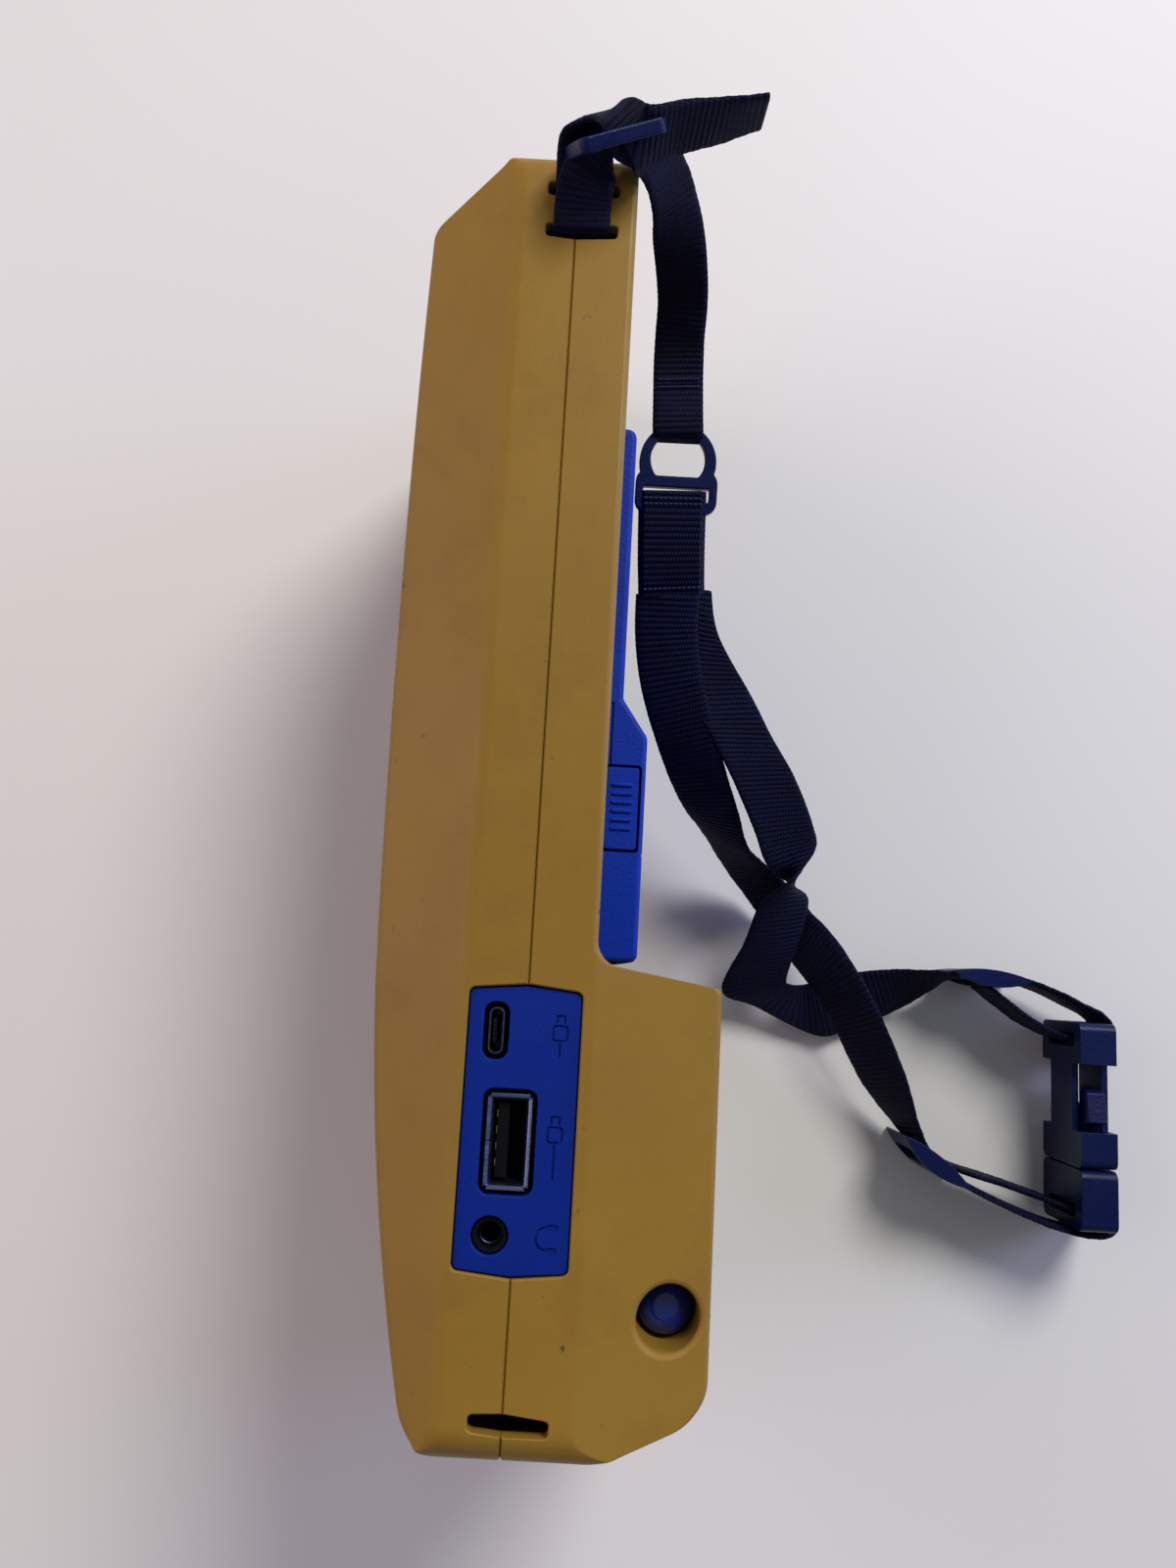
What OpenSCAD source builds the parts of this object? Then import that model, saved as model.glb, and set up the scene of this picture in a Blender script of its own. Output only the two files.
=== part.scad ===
// Handheld field data collector lying on one side, with its wrist tether.
// X runs from the display face (-) to the back (+), Y up the case, Z across its width.

/* [Case] */
// Length of the case from its bottom end to its top end
case_length = 215; // [205:1:260]
// Width of the case from side to side
case_width = 94; // [90:1:114]
// Depth of the case over the grip bulge
case_depth = 58.2; // [56:0.2:66]
// Wall thickness of both shells
wall = 2.4; // [2:0.1:2.8]
// Depth from the display face to the parting line
front_depth = 27.1; // [25.5:0.1:28]
// Depth of the flat side band's front edge behind the display face
ridge_depth = 17; // [15:0.5:17.5]
// How far the grip bulge stands behind the flat upper back
bulge_rise = 20.6; // [18:0.2:24]
// Length of the grip bulge up from the bottom end
bulge_length = 74.5; // [72:0.5:80]

/* [Display] */
// Length of the window along the case
window_length = 76; // [66:1:80]
// Width of the window
window_width = 56; // [50:1:57]
// Thickness of the window
window_thick = 1.6; // [1.2:0.1:1.7]

/* [Keys] */
// Distance between neighbouring keys
key_pitch = 17; // [16:0.5:18]
// Diameter of a round key
key_dia = 12; // [10:0.5:12]
// How far a key stands in front of the display face
key_proud = 1; // [0.6:0.1:1.4]
// How far a key is pressed
key_travel = 0.9; // [0.6:0.1:1.1]

/* [Ports] */
// Length of the port panel along the case
panel_length = 41.7; // [40:0.1:43]
// Width of the port panel
panel_width = 17.5; // [16.5:0.1:18]
// Radius of the headphone jack's bore
jack_r = 1.8; // [1.76:0.01:1.85]

/* [Battery] */
// Length of the battery pack along the case
pack_length = 94.6; // [90:0.2:98]
// Width of the battery pack
pack_width = 69.4; // [64:0.2:70]
// How far the thick end of the pack stands behind the flat back
pack_rise = 6.8; // [5.5:0.1:8]
// How far the pack's thin end stands behind the flat back
pack_thin_rise = 2.3; // [1.5:0.1:3]
// How far the pack slides off the back
pack_travel = 24; // [20:1:30]

/* [Strap] */
// Width of the strap slots in the side walls
slot_width = 12.4; // [11:0.1:13]
// Width of the tether webbing
tether_width = 9.7; // [8:0.1:10.4]
// Width of the wrist loop's webbing
loop_width = 12.7; // [11:0.1:13.2]
// Thickness of the webbing
web_thick = 1.2; // [1:0.1:1.4]

/* [Hidden] */
$fn = 48;
clear = 0.3;      // clearance round a moving piece
fit = 0.15;       // clearance round a seated piece
eps = 0.01;
big = 400;

// Overall planes of the case
y_top = case_length / 2;
y_bot = -case_length / 2;
x_front = -case_depth / 2;
x_back = case_depth / 2;
part_x = x_front + front_depth;
ridge_x = x_front + ridge_depth;
flat_x = x_back - bulge_rise;
step_y = y_bot + bulge_length;
z_mid = case_width / 2;
front_slope = 35;  // angle of the front side facets
bulge_slope = 18;  // angle of the bulge's side facets
end_round = 5.5;   // corner radius at both ends of each side

// Belly line of the display face: a long flat arc, a rounder arc, then the bottom corner
belly_r = 2200;
belly_top = [x_front + belly_r, y_top - 72.5];
join_y = y_bot + 77.5;
join_a = asin((belly_top.y - join_y) / belly_r);
chin_r = 330;
corner_r = 9;

function on_arc(c, r, a) = [c.x - r * cos(a), c.y - r * sin(a)];

chin_c = on_arc(belly_top, belly_r - chin_r, join_a);
corner_y = y_bot + corner_r;
corner_x = chin_c.x - sqrt(pow(chin_r - corner_r, 2) - pow(chin_c.y - corner_y, 2));
corner_a = atan2(chin_c.y - corner_y, chin_c.x - corner_x);

// X of the display face at a height y
function face_x(y) = y > join_y
    ? belly_top.x - sqrt(pow(belly_r, 2) - pow(y - belly_top.y, 2))
    : chin_c.x - sqrt(pow(chin_r, 2) - pow(y - chin_c.y, 2));

function arc(c, r, a0, a1, n) = [for (k = [0:n]) on_arc(c, r, a0 + (a1 - a0) * k / n)];

// Outline of the case seen from its side, pulled in by i
module case_outline(i) {
    top_a = asin((belly_top.y - y_top) / belly_r);
    chamfer_run = 17.2;
    chamfer_drop = 9.8;
    tilt = atan2(chamfer_drop, chamfer_run);
    intersection() {
        polygon(concat(
            arc(belly_top, belly_r - i, top_a, join_a, 8),
            arc(chin_c, chin_r - i, join_a, corner_a, 10),
            arc([corner_x, corner_y], corner_r - i, corner_a, 90, 6),
            [[flat_x - i, y_bot + i], [flat_x - i, y_top - i], [part_x, y_top - i]]));
        translate([ridge_x + 1, y_top])
            rotate(tilt)
                translate([-big, -big - i])
                    square([2 * big, big]);
        translate([x_front - 1, y_bot])
            square([case_depth + 2, case_length - i]);
    }
}

// Section of the case across its length, pulled in by i: a flat side band and two front facets
module case_section(i) {
    reach = 12;
    drop = (ridge_x - x_front + reach) * tan(front_slope) + i / cos(front_slope);
    ridge = ridge_x + i * tan(front_slope / 2);
    polygon([[flat_x, case_width - i], [ridge, case_width - i],
        [x_front - reach, case_width - drop], [x_front - reach, drop],
        [ridge, i], [flat_x, i]]);
}

// Side view of the ends: a rectangle with rounded corners, pulled in by i
module end_section(i) {
    r = end_round - i / 2;
    translate([y_bot + i, i])
        round_rect(case_length - 2 * i, case_width - 2 * i, r);
}

module round_rect(w, h, r) {
    translate([r, 0]) square([w - 2 * r, h]);
    translate([0, r]) square([w, h - 2 * r]);
    for (x = [r, w - r], y = [r, h - r]) translate([x, y]) circle(r);
}

module along_y(length) { rotate([90, 0, 0]) linear_extrude(length, center = true) children(); }
module along_x(x0, x1) { translate([x0, 0, 0]) rotate([90, 0, 90]) linear_extrude(x1 - x0) children(); }

module case_block(i) {
    intersection() {
        linear_extrude(case_width) case_outline(i);
        along_y(2 * big) case_section(i);
        along_x(x_front - 2, flat_x + eps) end_section(i);
    }
}

// Outline of the grip bulge seen from its side, pulled in by i
module bulge_outline(i) {
    step_fall = 3.2;
    tilt = atan2(step_fall, bulge_rise);
    fillet_r = 4;
    fillet_y = step_y + fillet_r * (1 - sin(tilt)) / cos(tilt);
    polygon([[part_x, y_bot + i], [flat_x + 2, y_bot + i], [flat_x + 11, y_bot + 2 + i],
        [x_back - 4.6 - i / 2, y_bot + 4.4 + i], [x_back - 1.4 - i, y_bot + 6.6 + i],
        [x_back - i, y_bot + 10.4 + i], [x_back - i, step_y - step_fall - 1.2 - i],
        [x_back - 1.2 - i, step_y - step_fall - i],
        [flat_x, step_y - i], [part_x, step_y - i]]);
    if (i == 0)
        polygon(concat([[flat_x - 1, step_y - 1], [flat_x - 1, fillet_y]],
            [for (a = [180:15:270 - tilt])
                [flat_x + fillet_r, fillet_y] + fillet_r * [cos(a), sin(a)]]));
}

module bulge_section(i) {
    drop = (x_back - flat_x + 6) * tan(bulge_slope) + i / cos(bulge_slope);
    ridge = flat_x - i * tan(bulge_slope / 2);
    polygon([[part_x, case_width - i], [ridge, case_width - i], [x_back + 6, case_width - drop],
        [x_back + 6, drop], [ridge, i], [part_x, i]]);
}

module bulge_block(i) {
    intersection() {
        linear_extrude(case_width) bulge_outline(i);
        along_y(2 * big) bulge_section(i);
        along_x(part_x - 1, x_back + 1) end_section(i);
    }
}

module case_solid(i) {
    case_block(i);
    bulge_block(i);
}

// Box from its low corner to its high corner
module span(a, b) { translate(a) cube(b - a); }

// The same shape on the port side and on the far side
module both_sides() {
    children();
    translate([0, 0, case_width]) mirror([0, 0, 1]) children();
}

/* Places inside the case */
// Display
window_x = x_front + 0.9;
window_y = y_top - 23.5 - window_length;
window_frame = 5;
seat_x = window_x + window_thick;
seat_thick = 1.6;
lcd_x = seat_x + seat_thick;
gasket_thick = 0.6;
lcd_thick = 4;
// Keypad
keypad_low = y_bot + 31.5;
keypad_high = keypad_low + 80;
fascia_half = 27;
fascia_depth = 1;
keypad_x = x_front + 12.6;
membrane_thick = 1.5;
keypad_thick = 1.5;
pad_y = keypad_low + 44;
key_r = key_dia / 2;
flange = 1;
flange_thick = 1.2;
// Keys: name, height, place across the width, half width, half height
KEYS = [
    ["key_menu", pad_y + 28, -1.15 * key_pitch, 7, 4.2],
    ["key_home", pad_y + 28, 0, 7, 4.2],
    ["key_back", pad_y + 28, 1.15 * key_pitch, 7, 4.2],
    ["key_up", pad_y + key_pitch - 3, 0, 5, 4.4],
    ["key_down", pad_y - key_pitch + 3, 0, 5, 4.4],
    ["key_left", pad_y, -key_pitch + 2.4, 4.4, 5],
    ["key_right", pad_y, key_pitch - 2.4, 4.4, 5],
    ["key_select", pad_y, 0, key_r, key_r],
    ["key_shift", pad_y - 31, -1.15 * key_pitch, 7, 4.2],
    ["key_power", pad_y - 31, 0, 7, 4.2],
    ["key_enter", pad_y - 31, 1.15 * key_pitch, 7, 4.2]];
// Main board, its posts and screws
board_x = x_front + 17.6;
board_thick = 1.6;
board_low = y_bot + 20;
board_high = y_top - 21.5;
board_half = 31;
post_r = 2.5;
post_half = 28.4;
post_ys = [board_low + 4, board_high - 4];
// Case screws: height, distance from the middle, X of the head's seat
screw_r = 1.5;
head_r = 2.8;
head_thick = 2;
boss_r = 3.6;
SCREWS = [
    [y_top - 16, 22, flat_x - 2.2],
    [y_top - 87.5, z_mid - 8.3, flat_x - 2.2],
    [y_bot + 10.5, 22, flat_x + 3]];
// Strap slots
slot_x0 = part_x - 5.1;
top_slot_y = [y_top - 15.9, y_top - 8.1];
slot_height = 2.5;
pocket_depth = 6.4;
bar_depth = 2.6;
bottom_slot_y = y_bot + 6.2;
// Port panel and what it carries
panel_y = y_bot + 27.8;
panel_x = part_x - 9;
panel_set = 0.6;
panel_thick = 2;
panel_z = case_width - panel_set;
usb_y = y_bot + 46.6;
usb_x = part_x - 1.7;
micro_y = y_bot + 63.2;
micro_x = part_x - 4.6;
jack_y = y_bot + 32.8;
jack_x = part_x - 3.6;
port_board_z = panel_z - 15.6;
port_board_thick = 1.2;
jack_depth = 14;
// Battery pack, its pocket and its latches
pocket_x = part_x + 5;
pocket_floor = 1.8;
pack_x = pocket_x + fit;
pack_y = step_y + clear;
pack_z = z_mid - pack_width / 2;
split_x = pack_x + 4;
pack_skin = 1.3;
pack_step_y = pack_y + 45;
pack_ramp = 6;
hook_r = 1.3;
hook_gap = 0.35;
hook_width = 40;
hook_x = pack_x + 2;
hook_y = pack_y + pack_length + hook_r + 0.05;
latch_y = step_y + 19;
latch_length = 14.4;
latch_travel = 1.1;
// Side plug
plug_x = flat_x + 13.8;
plug_y = y_bot + 21.2;
plug_r = 4.4;
recess_r = 5;
plug_seat_z = case_width - 14.4;
plug_stem = 5.4;

/* Shells */
module strap_pocket() {
    span([slot_x0, top_slot_y[0] - slot_height / 2, case_width - pocket_depth],
        [slot_x0 + slot_width, top_slot_y[1] + slot_height / 2, case_width + 1]);
}

module bottom_pocket() {
    span([slot_x0, bottom_slot_y - slot_height / 2, case_width - pocket_depth],
        [slot_x0 + slot_width, bottom_slot_y + slot_height / 2, case_width + 1]);
    span([slot_x0, y_bot - 1, case_width - pocket_depth],
        [slot_x0 + slot_width, bottom_slot_y, case_width - pocket_depth + slot_height]);
}

module strap_cuts() {
    both_sides() {
        difference() {
            strap_pocket();
            span([slot_x0 - 1, top_slot_y[0] + slot_height / 2, case_width - bar_depth],
                [slot_x0 + slot_width + 1, top_slot_y[1] - slot_height / 2, case_width + 2]);
        }
        bottom_pocket();
    }
}

// Walls behind the strap slots, so that the case stays closed
module strap_walls() {
    lip = 1.6;
    both_sides() {
        span([slot_x0 - lip, top_slot_y[0] - slot_height / 2 - lip, case_width - pocket_depth - lip],
            [slot_x0 + slot_width + lip, top_slot_y[1] + slot_height / 2 + lip, case_width - wall / 2]);
        span([slot_x0 - lip, y_bot + wall / 2, case_width - pocket_depth - lip],
            [slot_x0 + slot_width + lip, bottom_slot_y + slot_height / 2 + lip, case_width - wall / 2]);
    }
}

module port_opening(grow, z0) {
    span([panel_x - grow, panel_y - grow, z0],
        [panel_x + panel_width + grow, panel_y + panel_length + grow, case_width + 1]);
}

module port_frame() {
    rim = 2.4;
    difference() {
        span([panel_x - rim, panel_y - rim, panel_z - panel_thick - 3],
            [panel_x + panel_width + rim, panel_y + panel_length + rim, case_width - wall / 2]);
        port_opening(fit, panel_z - panel_thick);
        port_opening(-rim / 2, 0);
    }
}

module key_shape(k, grow) {
    w = k[3] + grow;
    h = k[4] + grow;
    if (k[0] == "key_select")
        circle(w);
    else
        translate([-h, -w]) round_rect(2 * h, 2 * w, 1.8);
}

function key_front(k) = face_x(k[1]) - key_proud;
function key_seat(k) = face_x(k[1] - k[4] - flange - clear) + 1.5;

module key_cut(k) {
    translate([0, k[1], z_mid + k[2]]) {
        along_x(x_front - 5, key_seat(k) + 1) key_shape(k, clear);
        along_x(key_seat(k), key_seat(k) + 5) key_shape(k, flange + clear);
    }
}

module fascia_area(grow) {
    span([x_front - 2, keypad_low - grow, z_mid - fascia_half - grow],
        [part_x, keypad_high + grow, z_mid + fascia_half + grow]);
}

module window_area(x0, x1, inset, grow) {
    span([x0, window_y + inset - grow, z_mid - window_width / 2 + inset - grow],
        [x1, window_y + window_length - inset + grow, z_mid + window_width / 2 - inset + grow]);
}

module screw_posts(front) {
    for (s = SCREWS, side = [-1, 1])
        translate([0, s[0], z_mid + side * s[1]])
            if (front)
                along_x(x_front, part_x) circle(boss_r);
            else
                along_x(part_x, x_back) circle(head_r + clear + 1.2);
}

module screw_holes(front) {
    hole = 0.04;
    for (s = SCREWS, side = [-1, 1])
        translate([0, s[0], z_mid + side * s[1]])
            if (front)
                along_x(part_x - 12.5, part_x + 1) circle(screw_r + hole);
            else {
                along_x(part_x - 1, s[2] + 1) circle(screw_r + fit);
                along_x(s[2], x_back + 5) circle(head_r + clear);
            }
}

module board_posts() {
    for (y = post_ys, side = [-1, 1])
        translate([0, y, z_mid + side * post_half])
            along_x(x_front, board_x) circle(post_r);
}

module keypad_ribs() {
    for (side = [-1, 1])
        translate([0, 0, z_mid + side * (fascia_half + 0.8)])
            span([x_front, keypad_low + 2, -0.8], [keypad_x, keypad_high - 2, 0.8]);
}

module front_shell() {
    color("goldenrod")
    difference() {
        union() {
            intersection() {
                difference() {
                    case_solid(0);
                    case_solid(wall);
                }
                span([x_front - 5, y_bot - 5, -5], [part_x, y_top + 5, case_width + 5]);
            }
            intersection() {
                case_solid(wall / 2);
                union() {
                    strap_walls();
                    port_frame();
                    screw_posts(true);
                    board_posts();
                    keypad_ribs();
                    window_area(seat_x, lcd_x, -2.4, 0);
                }
                span([x_front - 5, y_bot - 5, -5], [part_x, y_top + 5, case_width + 5]);
            }
        }
        strap_cuts();
        port_opening(fit, panel_z - panel_thick);
        port_opening(-1.2, port_board_z - 4);
        difference() {
            fascia_area(fit);
            case_solid(fascia_depth);
        }
        for (k = KEYS) key_cut(k);
        window_area(x_front - 3, seat_x, 0, fit);
        window_area(x_front, lcd_x + 1, window_frame, 0);
        screw_holes(true);
        for (y = post_ys, side = [-1, 1])
            translate([0, y, z_mid + side * post_half])
                along_x(board_x - 6, board_x + 1) circle(0.94);
    }
}

module pack_pocket() {
    span([pocket_x, step_y, pack_z - clear],
        [x_back + 5, pack_y + pack_length + clear + hook_gap, pack_z + pack_width + clear]);
    translate([hook_x, hook_y, z_mid])
        cylinder(r = hook_r + 0.25, h = hook_width + 2 * clear, center = true);
    span([hook_x - 1.2, hook_y - 2, z_mid - hook_width / 2 - clear],
        [hook_x + 1.2, hook_y, z_mid + hook_width / 2 + clear]);
}

// Round bead at the pack's upper end, held in a groove of the case: the pack tilts out about it
module battery_hook() {
    color("dimgray") {
        translate([hook_x, hook_y, z_mid]) cylinder(r = hook_r, h = hook_width, center = true);
        span([hook_x - 0.8, pack_y + pack_length, z_mid - hook_width / 2],
            [hook_x + 0.8, hook_y, z_mid + hook_width / 2]);
    }
}

module back_shell() {
    color("goldenrod")
    difference() {
        union() {
            intersection() {
                difference() {
                    case_solid(0);
                    case_solid(wall);
                }
                span([part_x, y_bot - 5, -5], [x_back + 5, y_top + 5, case_width + 5]);
            }
            intersection() {
                case_solid(wall / 2);
                union() {
                    strap_walls();
                    port_frame();
                    screw_posts(false);
                    span([pocket_x - pocket_floor, step_y - wall, pack_z - clear - wall / 2],
                        [flat_x, hook_y + hook_r + clear + wall / 2,
                            pack_z + pack_width + clear + wall / 2]);
                    plug_seat();
                }
                span([part_x, y_bot - 5, -5], [x_back + 5, y_top + 5, case_width + 5]);
            }
        }
        strap_cuts();
        port_opening(fit, panel_z - panel_thick);
        port_opening(-1.2, port_board_z - 4);
        difference() {
            pack_pocket();
            case_step();
        }
        gasket_ring(0.05);
        screw_holes(false);
        contact_window();
        plug_recess();
    }
}

// What stays of the bulge's step below the battery pocket
module case_step() {
    span([part_x, y_bot, 0], [x_back, step_y, case_width]);
}

/* Seal between the shells */
module gasket_ring(grow) {
    outer = 0.9;
    inner = 1.7;
    difference() {
        intersection() {
            difference() {
                case_solid(outer - grow);
                case_solid(inner + grow);
            }
            span([part_x - grow, y_bot, 0], [part_x + 0.8 + grow, y_top, case_width]);
        }
        both_sides() {
            span([part_x - 1, top_slot_y[0] - slot_height / 2 - 1, case_width - pocket_depth - 1],
                [part_x + 2, top_slot_y[1] + slot_height / 2 + 1, case_width + 1]);
            span([part_x - 1, y_bot - 1, case_width - pocket_depth - 1],
                [part_x + 2, bottom_slot_y + slot_height / 2 + 1, case_width + 1]);
        }
        port_opening(2.6, panel_z - panel_thick - 3);
    }
}

module case_gasket() { color("dimgray") gasket_ring(0); }

/* Display */
module display_window() { color("midnightblue") window_area(window_x, seat_x, 0, 0); }

module window_gasket() {
    color("black")
    difference() {
        window_area(lcd_x, lcd_x + gasket_thick, window_frame - 2, 0);
        window_area(lcd_x - 1, lcd_x + gasket_thick + 1, window_frame, 0);
    }
}

module lcd_module() {
    color("gray")
    window_area(lcd_x + gasket_thick, lcd_x + gasket_thick + lcd_thick, window_frame - 2.4, 0);
}

/* Keypad */
module fascia() {
    color("darkslateblue")
    difference() {
        intersection() {
            difference() {
                case_solid(fit);
                case_solid(fascia_depth);
            }
            fascia_area(0);
        }
        for (k = KEYS) key_cut(k);
    }
}

module keypad_board() {
    color("darkgreen")
    span([keypad_x, keypad_low + 2, z_mid - fascia_half - 1.4],
        [keypad_x + keypad_thick, keypad_high - 2, z_mid + fascia_half + 1.4]);
}

module keypad_membrane() {
    color("gainsboro") {
        span([keypad_x - membrane_thick, keypad_low + 2.4, z_mid - fascia_half + 0.4],
            [keypad_x, keypad_high - 2.4, z_mid + fascia_half - 0.4]);
        for (k = KEYS)
            translate([0, k[1], z_mid + k[2]])
                along_x(key_seat(k) + flange_thick + key_travel + clear, keypad_x - membrane_thick)
                    circle(3);
    }
}

module key(name) {
    for (k = KEYS)
        if (k[0] == name)
            translate([0, k[1], z_mid + k[2]]) {
                along_x(key_front(k), key_seat(k) + flange_thick) key_shape(k, 0);
                along_x(key_seat(k), key_seat(k) + flange_thick) key_shape(k, flange);
            }
}

/* Boards */
module main_board() {
    color("darkgreen") {
        difference() {
            span([board_x, board_low, z_mid - board_half],
                [board_x + board_thick, board_high, z_mid + board_half]);
            for (y = post_ys, side = [-1, 1])
                translate([0, y, z_mid + side * post_half])
                    along_x(board_x - 1, board_x + 3) circle(1.1);
        }
        for (c = [[24, 0, 18, 2.2], [62, -14, 12, 1.6], [62, 14, 9, 1.4], [92, 4, 14, 1.8]])
            translate([board_x + board_thick, board_low + c[0], z_mid + c[1] - c[2] / 2])
                cube([c[3], c[2], c[2]]);
    }
}

module board_screws() {
    color("silver")
    for (y = post_ys, side = [-1, 1])
        translate([0, y, z_mid + side * post_half]) {
            along_x(board_x + board_thick, board_x + board_thick + 1.3) circle(1.9);
            along_x(board_x - 5, board_x + board_thick) circle(0.9);
        }
}

module case_screws() {
    color("silver")
    for (s = SCREWS, side = [-1, 1])
        translate([0, s[0], z_mid + side * s[1]])
            difference() {
                union() {
                    along_x(s[2], s[2] + head_thick) circle(head_r);
                    along_x(part_x - 12, s[2]) circle(screw_r);
                }
                along_x(s[2] + head_thick - 1.2, s[2] + head_thick + 1) circle(1.25, $fn = 6);
            }
}

/* Port panel and connectors */
module port_panel() {
    lip = 0.4;
    color("royalblue")
    difference() {
        span([panel_x, panel_y, panel_z - panel_thick],
            [panel_x + panel_width, panel_y + panel_length, panel_z]);
        span([usb_x - 3.8, usb_y - 7.6, panel_z - 4], [usb_x + 3.8, usb_y + 7.6, panel_z + 1]);
        translate([micro_x, micro_y, panel_z - 4]) stadium(8.3, 3.4, 6);
        translate([jack_x, jack_y, panel_z - 4]) cylinder(r = 2.85, h = 6);
        for (i = [[micro_y, 11], [usb_y, 10.5], [jack_y + 0.4, 6]])
            translate([panel_x + panel_width - 3, i[0], panel_z - lip])
                port_icon(i[1], lip + 1);
    }
}

// Engraved mark beside a port: a bar with a ring at its end
module port_icon(length, h) {
    linear_extrude(h) {
        difference() {
            translate([0, -length / 2 + 1.2]) circle(1.2);
            translate([0, -length / 2 + 1.2]) circle(0.6);
        }
        translate([-0.3, -length / 2 + 2.3]) square([0.6, length - 2.3]);
    }
}

module stadium(length, width, h) {
    linear_extrude(h) {
        translate([-width / 2, -(length - width) / 2]) square([width, length - width]);
        for (s = [-1, 1]) translate([0, s * (length - width) / 2]) circle(width / 2);
    }
}

module port_board() {
    color("darkgreen")
    span([panel_x + 1.6, panel_y + 1.6, port_board_z - port_board_thick],
        [panel_x + panel_width - 1.6, panel_y + panel_length - 1.6, port_board_z]);
}

module usb_a_shell() {
    metal = 0.4;
    open_w = 5.12;
    open_l = 12.5;
    lip = 0.55;
    color("silver")
    difference() {
        union() {
            span([usb_x - open_w / 2 - metal, usb_y - open_l / 2 - metal, port_board_z],
                [usb_x + open_w / 2 + metal, usb_y + open_l / 2 + metal, panel_z - 0.4]);
            span([usb_x - open_w / 2 - metal - lip, usb_y - open_l / 2 - metal - lip, panel_z - 0.8],
                [usb_x + open_w / 2 + metal + lip, usb_y + open_l / 2 + metal + lip, panel_z - 0.4]);
        }
        span([usb_x - open_w / 2, usb_y - open_l / 2, port_board_z + metal],
            [usb_x + open_w / 2, usb_y + open_l / 2, panel_z + 1]);
    }
}

module usb_a_tongue() {
    color("black")
    span([usb_x - 1.9, usb_y - 5.6, port_board_z + 0.4], [usb_x - 0.1, usb_y + 5.6, panel_z - 2.2]);
}

module micro_usb_shell() {
    color("silver")
    translate([micro_x, micro_y, port_board_z])
        difference() {
            stadium(7.3, 2.5, panel_z - port_board_z - 0.5);
            translate([0, 0, 0.3]) stadium(6.7, 1.9, panel_z);
        }
}

module micro_usb_tongue() {
    color("black")
    span([micro_x - 0.45, micro_y - 2, port_board_z + 0.3], [micro_x + 0.05, micro_y + 2, panel_z - 1.6]);
}

module audio_jack() {
    color("black")
    difference() {
        union() {
            translate([jack_x, jack_y, panel_z - 2.4]) cylinder(r = 2.7, h = 1.8);
            span([jack_x - 3.4, jack_y - 3.1, port_board_z], [jack_x + 3.4, jack_y + 3.1, panel_z - 2.4]);
        }
        translate([jack_x, jack_y, panel_z - jack_depth]) cylinder(r = jack_r, h = jack_depth + 1);
    }
}

/* Battery pack */
module pack_outline(i) {
    thick = flat_x + pack_rise;
    thin = flat_x + pack_thin_rise;
    high = pack_y + pack_length;
    polygon([[pack_x + i, pack_y + i], [thick - 1.2 - i, pack_y + i], [thick - i, pack_y + 1.2 + i],
        [thick - i, pack_step_y - pack_ramp - 1 - i / 2], [thin - i, pack_step_y - i / 2],
        [thin - i, high - 3 - i], [thin - 3 - i / 2, high - i], [pack_x + i, high - i]]);
}

module pack_block(i) {
    translate([0, 0, pack_z + i])
        linear_extrude(pack_width - 2 * i) pack_outline(i);
}

module latch_slots(grow) {
    both_sides()
        span([split_x + 1.3 - grow, latch_y - grow, pack_z + pack_width - 2 - latch_travel - grow],
            [flat_x + pack_rise - 1 + grow, latch_y + latch_length + grow, pack_z + pack_width + 1]);
}

module latch_boxes() {
    both_sides()
        span([split_x, latch_y - 1.6, pack_z + pack_width - 4.6 - latch_travel],
            [flat_x + pack_rise - 0.2, latch_y + latch_length + 1.6, pack_z + pack_width - pack_skin]);
}

module battery_tray() {
    color("dimgray")
    difference() {
        intersection() {
            pack_block(0);
            span([0, y_bot, 0], [split_x, y_top, case_width]);
        }
        intersection() {
            pack_block(pack_skin);
            span([pack_x + pack_skin, y_bot, 0], [x_back, y_top, case_width]);
        }
        terminal_cut();
    }
}

module battery_cover() {
    color("mediumblue")
    difference() {
        union() {
            difference() {
                pack_block(0);
                pack_block(pack_skin);
            }
            intersection() {
                pack_block(0.6);
                latch_boxes();
            }
        }
        span([-big, y_bot, -5], [split_x, y_top, case_width + 5]);
        latch_slots(clear);
    }
}

module battery_cells() {
    thin_x = flat_x + pack_thin_rise - pack_skin - 0.2;
    cell_x = pack_x + pack_skin;
    half = pack_width / 2 - 6.8;
    color("steelblue") {
        for (side = [0, 1])
            span([cell_x, pack_step_y + 1, z_mid - half + side * (half + 0.3)],
                [thin_x, pack_y + pack_length - 6, z_mid - 0.3 + side * half]);
        for (side = [0, 1])
            span([cell_x, pack_y + 2.4, z_mid - half + side * (half + 0.3)],
                [flat_x + pack_rise - pack_skin - 1.4, pack_step_y - pack_ramp - 4,
                    z_mid - 0.3 + side * half]);
    }
}

// Push pad of a latch, with four grip ribs
module latch() {
    x0 = split_x + 1.3;
    x1 = flat_x + pack_rise - 1;
    top = pack_z + pack_width;
    color("blue") {
        span([x0, latch_y, top - 2], [x1, latch_y + latch_length, top]);
        for (k = [0:3])
            span([x0 + 2.4, latch_y + 2 + 3 * k, top - 1], [x1 - 0.8, latch_y + 3.4 + 3 * k, top + 0.25]);
    }
}

contact_y = step_y + 8;
module contact_window() {
    span([pocket_x - pocket_floor - 1, contact_y, z_mid - 10], [pocket_x + 1, contact_y + 6, z_mid + 10]);
}

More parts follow.
